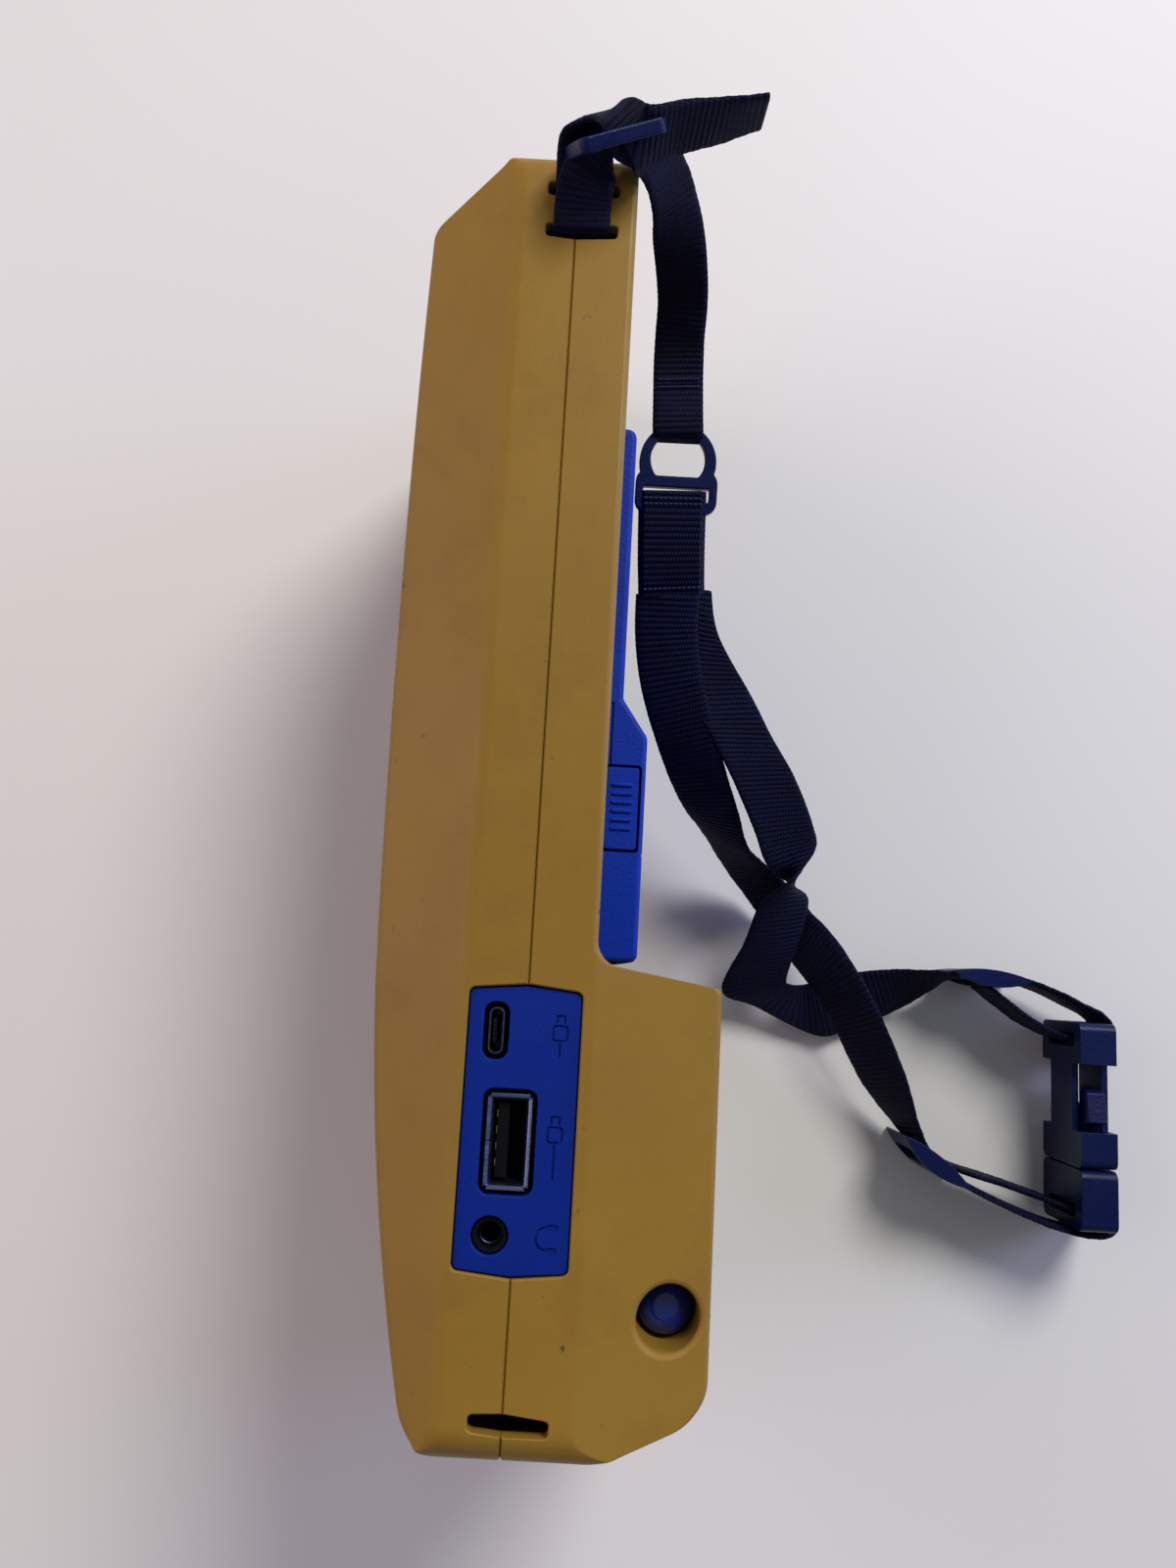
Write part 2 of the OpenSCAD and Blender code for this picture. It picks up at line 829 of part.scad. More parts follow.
module battery_contacts() {
    color("gold") {
        span([pocket_x - pocket_floor, contact_y + fit, z_mid - 10 + fit],
            [pocket_x - 0.6, contact_y + 6 - fit, z_mid + 10 - fit]);
        for (k = [-1.5:1:1.5])
            span([pocket_x - 0.6, contact_y + 1.4, z_mid + 4.4 * k - 0.8],
                [pocket_x - 0.1, contact_y + 4.6, z_mid + 4.4 * k + 0.8]);
    }
}

module terminal_cut() {
    for (k = [-1.5:1:1.5])
        span([pack_x - 1, contact_y + 1, z_mid + 4.4 * k - 1.3],
            [pack_x + 0.5, contact_y + 5, z_mid + 4.4 * k + 1.3]);
}

module battery_terminals() {
    color("gold")
    for (k = [-1.5:1:1.5])
        span([pack_x + 0.1, contact_y + 1.1, z_mid + 4.4 * k - 1.2],
            [pack_x + 0.5, contact_y + 4.9, z_mid + 4.4 * k + 1.2]);
}

/* Speaker, radio and side plug */
module speaker() {
    color("black")
    translate([x_back - wall, y_bot + 36, z_mid]) rotate([0, -90, 0]) {
        cylinder(r = 11, h = 2);
        translate([0, 0, 2]) cylinder(r = 8, h = 3.4);
    }
}

module radio_module() {
    color("silver")
    span([part_x + 1.4, y_bot + 26, wall], [flat_x - 2, y_bot + 62, wall + 4.2]);
}

module plug_recess() {
    translate([plug_x, plug_y, plug_seat_z])
        cylinder(r = recess_r, h = case_width - plug_seat_z + 1);
    translate([plug_x, plug_y, plug_seat_z - plug_stem - clear]) cylinder(r = plug_r + 0.03, h = 20);
}

module plug_seat() {
    floor_thick = 1.6;
    translate([plug_x, plug_y, plug_seat_z - plug_stem - clear - floor_thick])
        cylinder(r = recess_r + 2, h = case_width);
}

module side_plug() {
    dome_r = 6.2;
    collar = 2.6;
    color("royalblue") {
        translate([plug_x, plug_y, plug_seat_z - plug_stem]) cylinder(r = plug_r, h = plug_stem + collar);
        translate([plug_x, plug_y, plug_seat_z + collar - sqrt(pow(dome_r, 2) - pow(plug_r, 2))])
            intersection() {
                sphere(r = dome_r);
                cylinder(r = plug_r, h = dome_r + 1);
            }
    }
}

module plug_ring() {
    color("black")
    translate([plug_x, plug_y, plug_seat_z])
        rotate_extrude() translate([plug_r + 0.04, 0]) square([0.45, 0.8]);
}

/* Webbing: points are x, y, z, then the direction of the webbing's width there */
function unit(v) = v / norm(v);
// Smooth curve through the points p, with n steps from each point to the next
function smooth(p, n) = [for (i = [0:len(p) - 2], k = [0:n - 1])
    let (a = p[max(i - 1, 0)], b = p[i], c = p[i + 1], d = p[min(i + 2, len(p) - 1)], t = k / n)
    0.5 * (2 * b + (c - a) * t + (2 * a - 5 * b + 4 * c - d) * t * t
        + (3 * b - a - 3 * c + d) * t * t * t)];
function whole(p, n) = concat(smooth(p, n), [p[len(p) - 1]]);
function place(q) = [q[0], q[1], q[2]];
function turn(q) = [q[3], q[4], q[5]];

module webbing(points, steps, width, thick) {
    p = whole(points, steps);
    last = len(p) - 1;
    rings = [for (i = [0:last])
        let (run = unit(place(p[min(i + 1, last)]) - place(p[max(i - 1, 0)])),
            side = unit(turn(p[i]) - run * (turn(p[i]) * run)),
            up = cross(run, side))
        for (c = [[-1, -1], [1, -1], [1, 1], [-1, 1]])
            place(p[i]) + side * c[0] * width / 2 + up * c[1] * thick / 2];
    polyhedron(rings, concat([[0, 1, 2, 3]],
        [for (i = [0:last - 1], k = [0:3])
            [4 * i + k, 4 * i + 4 + k, 4 * i + 4 + (k + 1) % 4, 4 * i + (k + 1) % 4]],
        [[4 * last + 3, 4 * last + 2, 4 * last + 1, 4 * last]]), convexity = 6);
}

// Tether: from its loose end, over the slider, round the case's bar and down to the ring
TETHER = [
    [29, 111, 99, 0, 0.6, 0.8], [22, 108, 99.4, 0, 0.9, 0.4], [14, 104.4, 101, 0.3, 0.9, 0.1],
    [8, 102.4, 103.4, 0.7, 0.7, -0.1], [3.4, 105.4, 105.2, 0.8, 0.55, -0.25],
    [-0.6, 105.2, 101.4, 0.8, 0.5, -0.2], [-0.9, 101, 97.2, 1, 0.2, 0],
    [-0.9, 99.5, 94.2, 1, 0, 0], [-0.9, 99.2, 91.2, 1, 0, 0], [-0.9, 97.2, 89.8, 1, 0, 0],
    [-0.9, 93.6, 89.8, 1, 0, 0], [-0.9, 91.7, 91.4, 1, 0, 0], [-0.9, 92, 94.8, 1, 0, 0],
    [-0.9, 95.8, 95.5, 1, 0, 0], [0, 99.6, 97.6, 1, 0.2, 0], [3.6, 102.4, 99.8, 0.8, 0.5, -0.2],
    [9.8, 105.4, 97.4, 0.4, 0.8, 0.1], [14.2, 104, 89.6, 0.2, 0.7, 0.6],
    [16.8, 99.8, 80, 0.4, 0.5, 0.7], [18.4, 94, 71.8, 0.8, 0.2, 0.5],
    [18.4, 88, 65.8, 1, 0, 0.3], [18.4, 80, 61.4, 1, 0, 0.1], [18.6, 72.6, 60, 1, 0, 0],
    [19, 68.8, 59.4, 1, 0, 0]];
// Wrist loop, from the sewn patch to the buckle's socket
UPPER = [
    [23.6, 42, 46.4, 1, 0, -0.1], [27.6, 34, 41.2, 1, 0.2, -0.1], [35.2, 19.6, 33, 1, 0.35, -0.1],
    [44, 7, 28, 1, 0.4, -0.2], [50.6, -4, 24, 0.9, 0.2, -0.5], [52, -12, 20, 0.8, 0.5, -0.4],
    [50, -21, 12.6, 0.9, -0.3, -0.2], [46.8, -30.4, 7.2, 0.8, -0.2, 0.5],
    [50.8, -37.6, 7.2, 0.1, -0.1, 1], [60, -41.2, 4.8, 0, -0.9, 0.5], [72, -38, 4.6, 0, -0.9, 0.4],
    [84, -32.6, 7.6, 0, -0.3, 1], [92, -30.6, 9.4, 0, 0, 1], [100, -30, 9.6, 0, 0, 1],
    [110, -32.6, 10.2, 0, 0, 1], [117, -35.6, 10.6, 0, 0, 1], [121.8, -37.9, 10.7, 0, 0, 1],
    [123.7, -40.6, 10.7, 0, 0, 1], [122.2, -43.3, 10.7, 0, 0, 1], [118.6, -43.4, 10.7, 0, 0, 1],
    [113.6, -43, 10.6, 0, 0, 1], [107, -40.2, 10.2, 0, 0, 1], [101, -36, 9.6, 0, 0, 1],
    [97, -33, 9.4, 0, 0, 1]];
// Wrist loop, from the sewn patch to the buckle's plug
LOWER = [
    [19.4, 41.5, 50.8, 1, 0, 0.1], [19.8, 33.6, 47.4, 1, 0, 0.1], [21.8, 24, 43.4, 1, 0.1, 0.2],
    [26.6, 11.8, 37, 0.8, 0.3, 0.5], [31.4, 3, 29, 0.5, 0.3, 0.8], [37.4, -4.6, 18, 0.4, 0, 1],
    [46.6, -12.6, 7.4, 1, 0.4, 0.1], [55.6, -22.6, 5, 1, 0.5, 0], [62.6, -32, 9, 1, 0.5, 0],
    [68, -41, 11, 1, 0.5, 0.1], [75, -54, 9.2, 0.7, 0.4, 0.7], [80, -63.4, 9.4, 0.2, 0.1, 1],
    [84.6, -69.4, 9.4, 0, 0, 1], [91, -72.6, 9.6, 0, 0, 1], [101, -75.2, 10.2, 0, 0, 1],
    [110, -77.8, 10.6, 0, 0, 1], [114.6, -79.2, 10.7, 0, 0, 1], [118.6, -79.4, 10.7, 0, 0, 1],
    [122.4, -79.6, 10.7, 0, 0, 1], [124, -82.2, 10.7, 0, 0, 1], [122, -84.4, 10.7, 0, 0, 1],
    [117.6, -84.6, 10.6, 0, 0, 1], [110, -83, 10.4, 0, 0, 1], [100, -79.4, 10, 0, 0, 1],
    [90.4, -75.2, 9.6, 0, 0, 1]];

module tether_webbing() { color("#10142c") webbing(TETHER, 3, tether_width, web_thick); }
module loop_webbing_upper() { color("#10142c") webbing(UPPER, 3, loop_width, web_thick); }
module loop_webbing_lower() { color("#10142c") webbing(LOWER, 3, loop_width, web_thick); }

// Sewn end of the wrist loop, folded over the ring's lower bar
PATCH = [[19, 59.4, 58, 1, 0, 0], [19.2, 55, 56.8, 1, 0, 0], [19.6, 48, 53.6, 1, 0, 0],
    [20.2, 42, 50, 1, 0, 0]];
module loop_patch() { color("#10142c") webbing(PATCH, 3, loop_width + 0.6, 3.6); }

/* Strap hardware */
module bar_plate(w, h, slot_w, slot_h, thick) {
    linear_extrude(thick, center = true)
        difference() {
            translate([-w / 2, -h / 2]) round_rect(w, h, 1.6);
            for (s = [-1, 1])
                translate([-slot_w / 2, s * (slot_h / 2 + 1.2) - slot_h / 2])
                    square([slot_w, slot_h]);
        }
}

module tether_slider() {
    color("midnightblue")
    translate([3.6, 103.6, 101.2])
        rotate([0, 0, 35])
            rotate([-56, 0, 0])
                rotate([0, 12, 0])
                    bar_plate(15.6, 13, tether_width + 0.8, 3.2, 2.4);
}

module upper_slider() {
    color("midnightblue")
    translate([97.4, -30.6, 8.8]) rotate([0, 0, -5]) rotate([0, -90, 90])
        bar_plate(17.4, 17, loop_width + 1, 4.4, 2.4);
}

module lower_slider() {
    color("midnightblue")
    translate([85.4, -71, 8.8]) rotate([0, 0, -36]) rotate([0, -90, 90])
        bar_plate(17.4, 17, loop_width + 1, 4.4, 2.4);
}

// Ring between tether and wrist loop: a wide lower eye for the loop and a narrow upper one
module strap_ring() {
    color("midnightblue")
    translate([19.7, 63.4, 58.6]) rotate([12, 0, 0])
        linear_extrude(2.6, center = true)
            difference() {
                union() {
                    translate([-8.1, -7.4]) round_rect(16.2, 8.4, 2.4);
                    translate([0, 2.6]) circle(7.6);
                }
                translate([-loop_width / 2 - 0.2, -5]) square([loop_width + 0.4, 2.6]);
                translate([0, 3.2]) intersection() {
                    circle(5.4);
                    translate([-6, -3.4]) square([12, 9]);
                }
            }
}

/* Buckle, standing on its edge: its length runs along Y and its width along Z */
buckle_x = 118.6;
buckle_top = -39.6;
buckle_width = 21;
buckle_thick = 7.8;
buckle_mid = buckle_width / 2 + 0.2;
socket_length = 30.6;
mouth_y = buckle_top - socket_length;
buckle_skin = 1.4;
bar_end = 7;
arm_half = 4.2;
arm_length = 15;
arm_root_y = mouth_y + 1.4;
arm_angle = 8;

module socket_profile() {
    translate([buckle_top - socket_length, buckle_mid - buckle_width / 2])
        round_rect(socket_length, buckle_width, 1.8);
}

module buckle_socket() {
    cavity_y = buckle_top - bar_end - 1.6;
    window = [mouth_y + 7.6, mouth_y + 21.8];
    half_t = buckle_thick / 2;
    color("midnightblue")
    difference() {
        along_x(buckle_x - half_t, buckle_x + half_t) socket_profile();
        span([buckle_x - half_t - 1, buckle_top - 5.2, buckle_mid - loop_width / 2 - 0.5],
            [buckle_x + half_t + 1, buckle_top - 2.4, buckle_mid + loop_width / 2 + 0.5]);
        span([buckle_x - half_t + buckle_skin, mouth_y - 1, buckle_mid - buckle_width / 2 + buckle_skin],
            [buckle_x + half_t - buckle_skin, cavity_y, buckle_mid + buckle_width / 2 - buckle_skin]);
        for (s = [-1, 1])
            translate([0, 0, buckle_mid + s * buckle_width / 2])
                span([buckle_x - half_t - 1, window[0], -4.6], [buckle_x + half_t + 1, window[1], 4.6]);
    }
}

module buckle_plug() {
    half_t = buckle_thick / 2;
    base_length = 12.6;
    base_y = mouth_y - 0.3;
    color("midnightblue")
    difference() {
        union() {
            along_x(buckle_x - half_t, buckle_x + half_t)
                translate([base_y - base_length, buckle_mid - buckle_width / 2])
                    round_rect(base_length, buckle_width, 1.8);
            span([buckle_x - 2, base_y - 0.5, buckle_mid - 1.5],
                [buckle_x + 2, mouth_y + arm_length - 2, buckle_mid + 1.5]);
        }
        span([buckle_x - half_t - 1, base_y - base_length + 2.4, buckle_mid - loop_width / 2 - 0.5],
            [buckle_x + half_t + 1, base_y - base_length + 5.2, buckle_mid + loop_width / 2 + 0.5]);
        for (s = [-1, 1])
            translate([buckle_x, arm_root_y - 3, buckle_mid + s * arm_half]) rotate([0, 90, 0])
                cylinder(r = 1.55, h = 4.6, center = true);
        for (s = [-1, 1])
            span([buckle_x - 2.3, arm_root_y - 3, buckle_mid + s * arm_half - 2.4],
                [buckle_x + 2.3, base_y + 1, buckle_mid + s * arm_half + 2.4]);
    }
}

// One springy latch arm, with its barb in the socket's side window
module buckle_arm(s) {
    tip = arm_root_y + arm_length;
    color("navy")
    translate([0, 0, buckle_mid])
        mirror([0, 0, s < 0 ? 1 : 0])
            along_x(buckle_x - 2, buckle_x + 2) {
                translate([arm_root_y - 3, arm_half]) circle(1.5);
                polygon([[arm_root_y - 3, arm_half - 1.1], [arm_root_y + 2, arm_half - 1.1],
                    [tip - 1, arm_half + 1.2], [tip, arm_half + 2.4], [tip - 0.6, arm_half + 4.6],
                    [arm_root_y + 8.2, arm_half + 5.6], [arm_root_y + 7.4, arm_half + 2.6],
                    [arm_root_y + 2, arm_half + 1.1], [arm_root_y - 3, arm_half + 1.1]]);
            }
}

module key_colour(name) { color(name == "key_power" ? "firebrick" : "slategray") key(name); }
module latch_port_side() { latch(); }
module latch_far_side() { translate([0, 0, case_width]) mirror([0, 0, 1]) latch(); }
module buckle_arm_low() { buckle_arm(-1); }
module buckle_arm_high() { buckle_arm(1); }

front_shell();
back_shell();
case_gasket();
fascia();
display_window();
window_gasket();
lcd_module();
main_board();
board_screws();
keypad_board();
keypad_membrane();
for (k = KEYS) key_colour(k[0]);
port_panel();
port_board();
usb_a_shell();
usb_a_tongue();
micro_usb_shell();
micro_usb_tongue();
audio_jack();
battery_tray();
battery_hook();
battery_cover();
battery_cells();
battery_terminals();
battery_contacts();
latch_port_side();
latch_far_side();
speaker();
radio_module();
side_plug();
plug_ring();
case_screws();
tether_webbing();
tether_slider();
strap_ring();
loop_patch();
loop_webbing_upper();
loop_webbing_lower();
upper_slider();
lower_slider();
buckle_socket();
buckle_plug();
buckle_arm_low();
buckle_arm_high();
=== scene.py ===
"""Looks of a handheld field data collector that lies on one side with its wrist tether."""

import math

import bmesh
import bpy
import numpy as np
from bpy.props import FloatProperty, FloatVectorProperty, IntProperty, PointerProperty
from mathutils import Matrix, Vector


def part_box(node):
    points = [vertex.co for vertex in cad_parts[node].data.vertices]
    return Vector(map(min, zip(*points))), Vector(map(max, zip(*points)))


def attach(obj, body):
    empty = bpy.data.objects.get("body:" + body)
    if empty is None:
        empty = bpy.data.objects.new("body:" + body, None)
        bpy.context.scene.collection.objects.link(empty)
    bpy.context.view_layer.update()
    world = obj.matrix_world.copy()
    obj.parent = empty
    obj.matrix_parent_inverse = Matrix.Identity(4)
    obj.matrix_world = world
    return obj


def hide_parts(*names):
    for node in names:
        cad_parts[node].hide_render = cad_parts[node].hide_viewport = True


bl_info = {
    "name": "Field Data Collector",
    "version": (1, 0, 0),
    "blender": (4, 5, 0),
    "location": "View3D > Sidebar > Collector",
    "description": "Builds the case, ports, battery and wrist tether of a data collector",
    "category": "Object",
}

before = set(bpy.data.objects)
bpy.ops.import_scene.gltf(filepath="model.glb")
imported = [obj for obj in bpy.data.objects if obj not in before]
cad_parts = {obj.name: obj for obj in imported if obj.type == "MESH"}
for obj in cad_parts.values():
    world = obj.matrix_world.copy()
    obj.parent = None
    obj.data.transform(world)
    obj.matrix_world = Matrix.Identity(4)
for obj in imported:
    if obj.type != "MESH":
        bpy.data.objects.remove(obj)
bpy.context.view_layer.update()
MM = 0.001


def cad_box(node):
    """Lowest and highest corner of a CAD node, in millimetres."""
    low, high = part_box(node)
    return low / MM, high / MM


# Planes of the case, from the frame
FRONT_LOW, FRONT_HIGH = cad_box("front_shell")
BACK_HIGH = cad_box("back_shell")[1]
Y_BOTTOM, Y_TOP = FRONT_LOW.y, FRONT_HIGH.y
X_FRONT, PART_X, X_BACK = FRONT_LOW.x, FRONT_HIGH.x, BACK_HIGH.x
CASE_WIDTH = FRONT_HIGH.z
Z_MID = CASE_WIDTH / 2
BULGE_RISE, RIDGE_DEPTH, BULGE_LENGTH = 20.6, 17, 74.5
FLAT_X = X_BACK - BULGE_RISE
RIDGE_X = X_FRONT + RIDGE_DEPTH
STEP_Y = Y_BOTTOM + BULGE_LENGTH
STEP_FALL = 3.2
FRONT_SLOPE, BULGE_SLOPE = math.radians(35), math.radians(18)
FRONT_TAN, BULGE_TAN = math.tan(FRONT_SLOPE), math.tan(BULGE_SLOPE)
WALL = 2.4
FAR_SIDE = Matrix.Translation((0, 0, CASE_WIDTH)) @ Matrix.Diagonal((1, 1, -1, 1))


# ---------------------------------------------------------------- settings


def size_of(name, description, value):
    """A length setting; value is in millimetres."""
    return FloatProperty(name=name, description=description, default=value * MM, unit="LENGTH")


def tint(name, description, value):
    return FloatVectorProperty(name=name, description=description, subtype="COLOR", size=4,
                               default=value, min=0, max=1)


class CaseSettings(bpy.types.PropertyGroup):
    """Roundings and gaps of the two case shells."""

    end_round: size_of("End rounding", "Radius between the sides and the ends", 5.5)
    ridge_round: size_of("Ridge rounding", "Radius of the side ridges", 5.0)
    rim_round: size_of("Rim rounding", "Radius of the flat back's rim", 1.1)
    seam_width: size_of("Seam width", "Width of the groove between the shells", 0.62)
    colour: tint("Colour", "Colour of the shells", (0.262, 0.152, 0.02, 1))


class StrapSettings(bpy.types.PropertyGroup):
    """Webbing and its weave."""

    tether_width: size_of("Tether width", "Width of the tether webbing", 10)
    loop_width: size_of("Loop width", "Width of the wrist loop's webbing", 12.7)
    thickness: size_of("Thickness", "Thickness of the webbing", 1.2)
    rib_pitch: size_of("Rib pitch", "Distance between two cross ribs of the weave", 1.15)
    rib_height: size_of("Rib height", "How far a rib stands proud", 0.1)
    colour: tint("Colour", "Colour of the yarn", (0.0012, 0.0022, 0.021, 1))
    stitch_length: size_of("Stitch length", "Length of one stitch", 1.5)
    stitch_count: IntProperty(name="Stitches in a row", description="Stitches across the webbing",
                              default=6, min=2, max=20)


class PartSettings(bpy.types.PropertyGroup):
    """Colours of the blue and the strap plastics."""

    panel_colour: tint("Panel", "Colour of the port panel and the battery", (0.0005, 0.0165, 0.215, 1))
    plastic_colour: tint("Strap plastic", "Colour of buckle and sliders", (0.0008, 0.0055, 0.054, 1))


MATERIALS = {}

# ---------------------------------------------------------------- mesh helpers (millimetres)


def lerp(a, b, t):
    return tuple(p + (q - p) * t for p, q in zip(a, b))


def circle(x, y, radius, count=32, start=0.0):
    """Points of a circle, anticlockwise."""
    turns = [start + 2 * math.pi * k / count for k in range(count)]
    return [(x + radius * math.cos(a), y + radius * math.sin(a)) for a in turns]


def corner_arc(before, corner, after, radius, count):
    """Points that round one corner of an outline, radius limited by its neighbours."""
    p = Vector(corner)
    u, v = Vector(before) - p, Vector(after) - p
    if u.length < 1e-6 or v.length < 1e-6:
        return [tuple(p)] * count
    room = 0.47 * min(u.length, v.length)
    u.normalize()
    v.normalize()
    half = u.angle(v) / 2
    if half > math.pi / 2 - 1e-3:
        return [tuple(p)] * count
    reach = min(radius / math.tan(half), room)
    radius = reach * math.tan(half)
    centre = p + (u + v).normalized() * radius / math.sin(half)
    start, end = p + u * reach - centre, p + v * reach - centre
    sweep = math.pi - 2 * half
    points = []
    for k in range(count):
        t = k / (count - 1)
        a = math.sin((1 - t) * sweep) / math.sin(sweep)
        b = math.sin(t * sweep) / math.sin(sweep)
        points.append(tuple(centre + start * a + end * b))
    return points


def rounded(points, radius, count=6):
    """A closed outline with every corner rounded; radius is one number or one for each corner."""
    radii = radius if hasattr(radius, "__len__") else [radius] * len(points)
    made = []
    for i, p in enumerate(points):
        if radii[i] <= 0:
            made.append(tuple(p))
        else:
            made += corner_arc(points[i - 1], p, points[(i + 1) % len(points)], radii[i], count)
    return made


def box_outline(x0, y0, x1, y1):
    return [(x0, y0), (x1, y0), (x1, y1), (x0, y1)]


def rounded_box(x0, y0, x1, y1, radius, count=6):
    return rounded(box_outline(x0, y0, x1, y1), radius, count)


def side_box(low, high, grow, radius, count=6):
    """The (x, y) box between two corners, grown all round, with round corners."""
    return rounded_box(low.x - grow, low.y - grow, high.x + grow, high.y + grow, radius, count)


def face_box(low, high, grow, radius, count=6):
    """The (y, z) box between two corners, grown all round, with round corners."""
    return rounded_box(low.y - grow, low.z - grow, high.y + grow, high.z + grow, radius, count)



def placed(name, data):
    """A new object in the scene that shows the given data."""
    made = bpy.data.objects.new(name, data)
    bpy.context.scene.collection.objects.link(made)
    return made


def placed_bmesh(name, bm, mesh_name=None):
    """A new object in the scene from a bmesh, which is used up."""
    mesh = bpy.data.meshes.new(mesh_name or name)
    bm.to_mesh(mesh)
    bm.free()
    return placed(name, mesh)


def object_from(name, verts, faces):
    """A mesh object in millimetres with its normals facing outwards."""
    mesh = bpy.data.meshes.new(name)
    mesh.from_pydata([tuple(v) for v in verts], [], faces)
    made = placed(name, mesh)
    face_outwards(made)
    return made


def face_outwards(obj):
    bm = bmesh.new()
    bm.from_mesh(obj.data)
    bmesh.ops.remove_doubles(bm, verts=bm.verts, dist=1e-5)
    bmesh.ops.recalc_face_normals(bm, faces=bm.faces)
    bm.to_mesh(obj.data)
    bm.free()


def side_faces(rings, count):
    """The quads that join rings of count points, each ring to the next."""
    faces = []
    for i in range(rings - 1):
        for k in range(count):
            j = (k + 1) % count
            faces.append((i * count + k, i * count + j, (i + 1) * count + j, (i + 1) * count + k))
    return faces


def loft(name, rings):
    """A closed skin over rings of equal length; each end is one face."""
    count = len(rings[0])
    faces = side_faces(len(rings), count)
    faces.append(tuple(range(count))[::-1])
    faces.append(tuple((len(rings) - 1) * count + k for k in range(count)))
    return object_from(name, [p for ring in rings for p in ring], faces)


def prism(name, outlines, low, high, axis="z", bevel=0.0):
    """Outlines (the first outside, the rest holes) drawn out along an axis, its edges rounded.
    Outlines are in (x, y) for axis z, (y, z) for axis x and (x, z) for axis y."""
    bm = bmesh.new()
    edges = []
    for outline in outlines:
        ring = [bm.verts.new((p[0], p[1], 0)) for p in outline]
        edges += [bm.edges.new((ring[k - 1], ring[k])) for k in range(len(ring))]
    bmesh.ops.triangle_fill(bm, edges=edges, use_beauty=True, use_dissolve=False)
    bmesh.ops.dissolve_limit(bm, angle_limit=0.01, verts=bm.verts, edges=bm.edges)
    base = bm.faces[:]
    made = bmesh.ops.extrude_face_region(bm, geom=base)
    top = [v for v in made["geom"] if isinstance(v, bmesh.types.BMVert)]
    for v in bm.verts:
        v.co.z = low
    for v in top:
        v.co.z = high
    turn = {"z": Matrix.Identity(4), "x": Matrix(((0, 0, 1, 0), (1, 0, 0, 0), (0, 1, 0, 0), (0, 0, 0, 1))),
            "y": Matrix(((1, 0, 0, 0), (0, 0, 1, 0), (0, 1, 0, 0), (0, 0, 0, 1)))}[axis]
    bmesh.ops.transform(bm, matrix=turn, verts=bm.verts)
    bmesh.ops.recalc_face_normals(bm, faces=bm.faces)
    made = placed_bmesh(name, bm)
    if bevel:
        round_edges(made, bevel)
    return made


def settle(obj):
    """Applies the object's modifiers."""
    graph = bpy.context.evaluated_depsgraph_get()
    mesh = bpy.data.meshes.new_from_object(obj.evaluated_get(graph))
    obj.modifiers.clear()
    obj.data = mesh
    return obj


def round_edges(obj, width, segments=3, angle=35):
    bevel = obj.modifiers.new("Rounding", "BEVEL")
    bevel.width = width
    bevel.segments = segments
    bevel.limit_method = "ANGLE"
    bevel.angle_limit = math.radians(angle)
    bevel.miter_outer = "MITER_ARC"
    return settle(obj)


def combine(obj, others, operation, own=False):
    """Boolean of obj with each of the others in turn; the others are used up."""
    for other in others:
        step = obj.modifiers.new("Cut", "BOOLEAN")
        step.operation = operation
        step.solver = "EXACT"
        step.use_self = own
        step.object = other
        settle(obj)
        bpy.data.objects.remove(other)
    return obj


def join(objects, name):
    """One object out of several; they are used up."""
    bm = bmesh.new()
    for o in objects:
        bm.from_mesh(o.data)
    for o in objects:
        bpy.data.objects.remove(o)
    return placed_bmesh(name, bm)


def moved(obj, matrix):
    obj.data.transform(matrix)
    if matrix.determinant() < 0:
        obj.data.flip_normals()
    return obj


def mirrored_copy(obj, name):
    """The same piece on the far side of the case."""
    return moved(placed(name, obj.data.copy()), FAR_SIDE)


def finish_piece(obj, name, body, material, replaces=(), angle=32, flat_weights=True):
    """Gives a finished piece its size in metres, shading, material (by its key) and body."""
    obj.name = name
    obj.data.name = name
    obj.data.transform(Matrix.Scale(MM, 4))
    obj.data.polygons.foreach_set("use_smooth", [True] * len(obj.data.polygons))
    obj.data.set_sharp_from_angle(angle=math.radians(angle))
    if flat_weights:
        weights = obj.modifiers.new("Flat faces", "WEIGHTED_NORMAL")
        weights.keep_sharp = True
        weights.weight = 80
        settle(obj)
    obj.data.materials.clear()
    obj.data.materials.append(MATERIALS[material])
    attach(obj, body)
    if replaces:
        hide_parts(*replaces)
    return obj


# ---------------------------------------------------------------- materials


def new_material(name):
    """An empty material: its node tree, its shader and its output."""
    material = bpy.data.materials.new(name)
    material.use_nodes = True
    tree = material.node_tree
    shader = tree.nodes["Principled BSDF"]
    return material, tree, shader


def add_node(tree, kind, **values):
    """A node with its properties, or its inputs, set by name."""
    node = tree.nodes.new(kind)
    for key, value in values.items():
        label = key.replace("_", " ")
        if label in node.inputs:
            node.inputs[label].default_value = value
        else:
            setattr(node, key, value)
    return node


def object_place(tree, **values):
    """Object coordinates, passed through a mapping node where values are given."""
    place = tree.nodes.new("ShaderNodeTexCoord").outputs["Object"]
    if not values:
        return place
    mapping = add_node(tree, "ShaderNodeMapping", **values)
    tree.links.new(place, mapping.inputs["Vector"])
    return mapping.outputs["Vector"]


def streaked(tree, scale, detail):
    """Noise drawn out into streaks; scale is in features for each metre along each axis."""
    made = add_node(tree, "ShaderNodeTexNoise", Scale=1.0, Detail=detail)
    tree.links.new(object_place(tree, Scale=scale), made.inputs["Vector"])
    return made.outputs["Fac"]


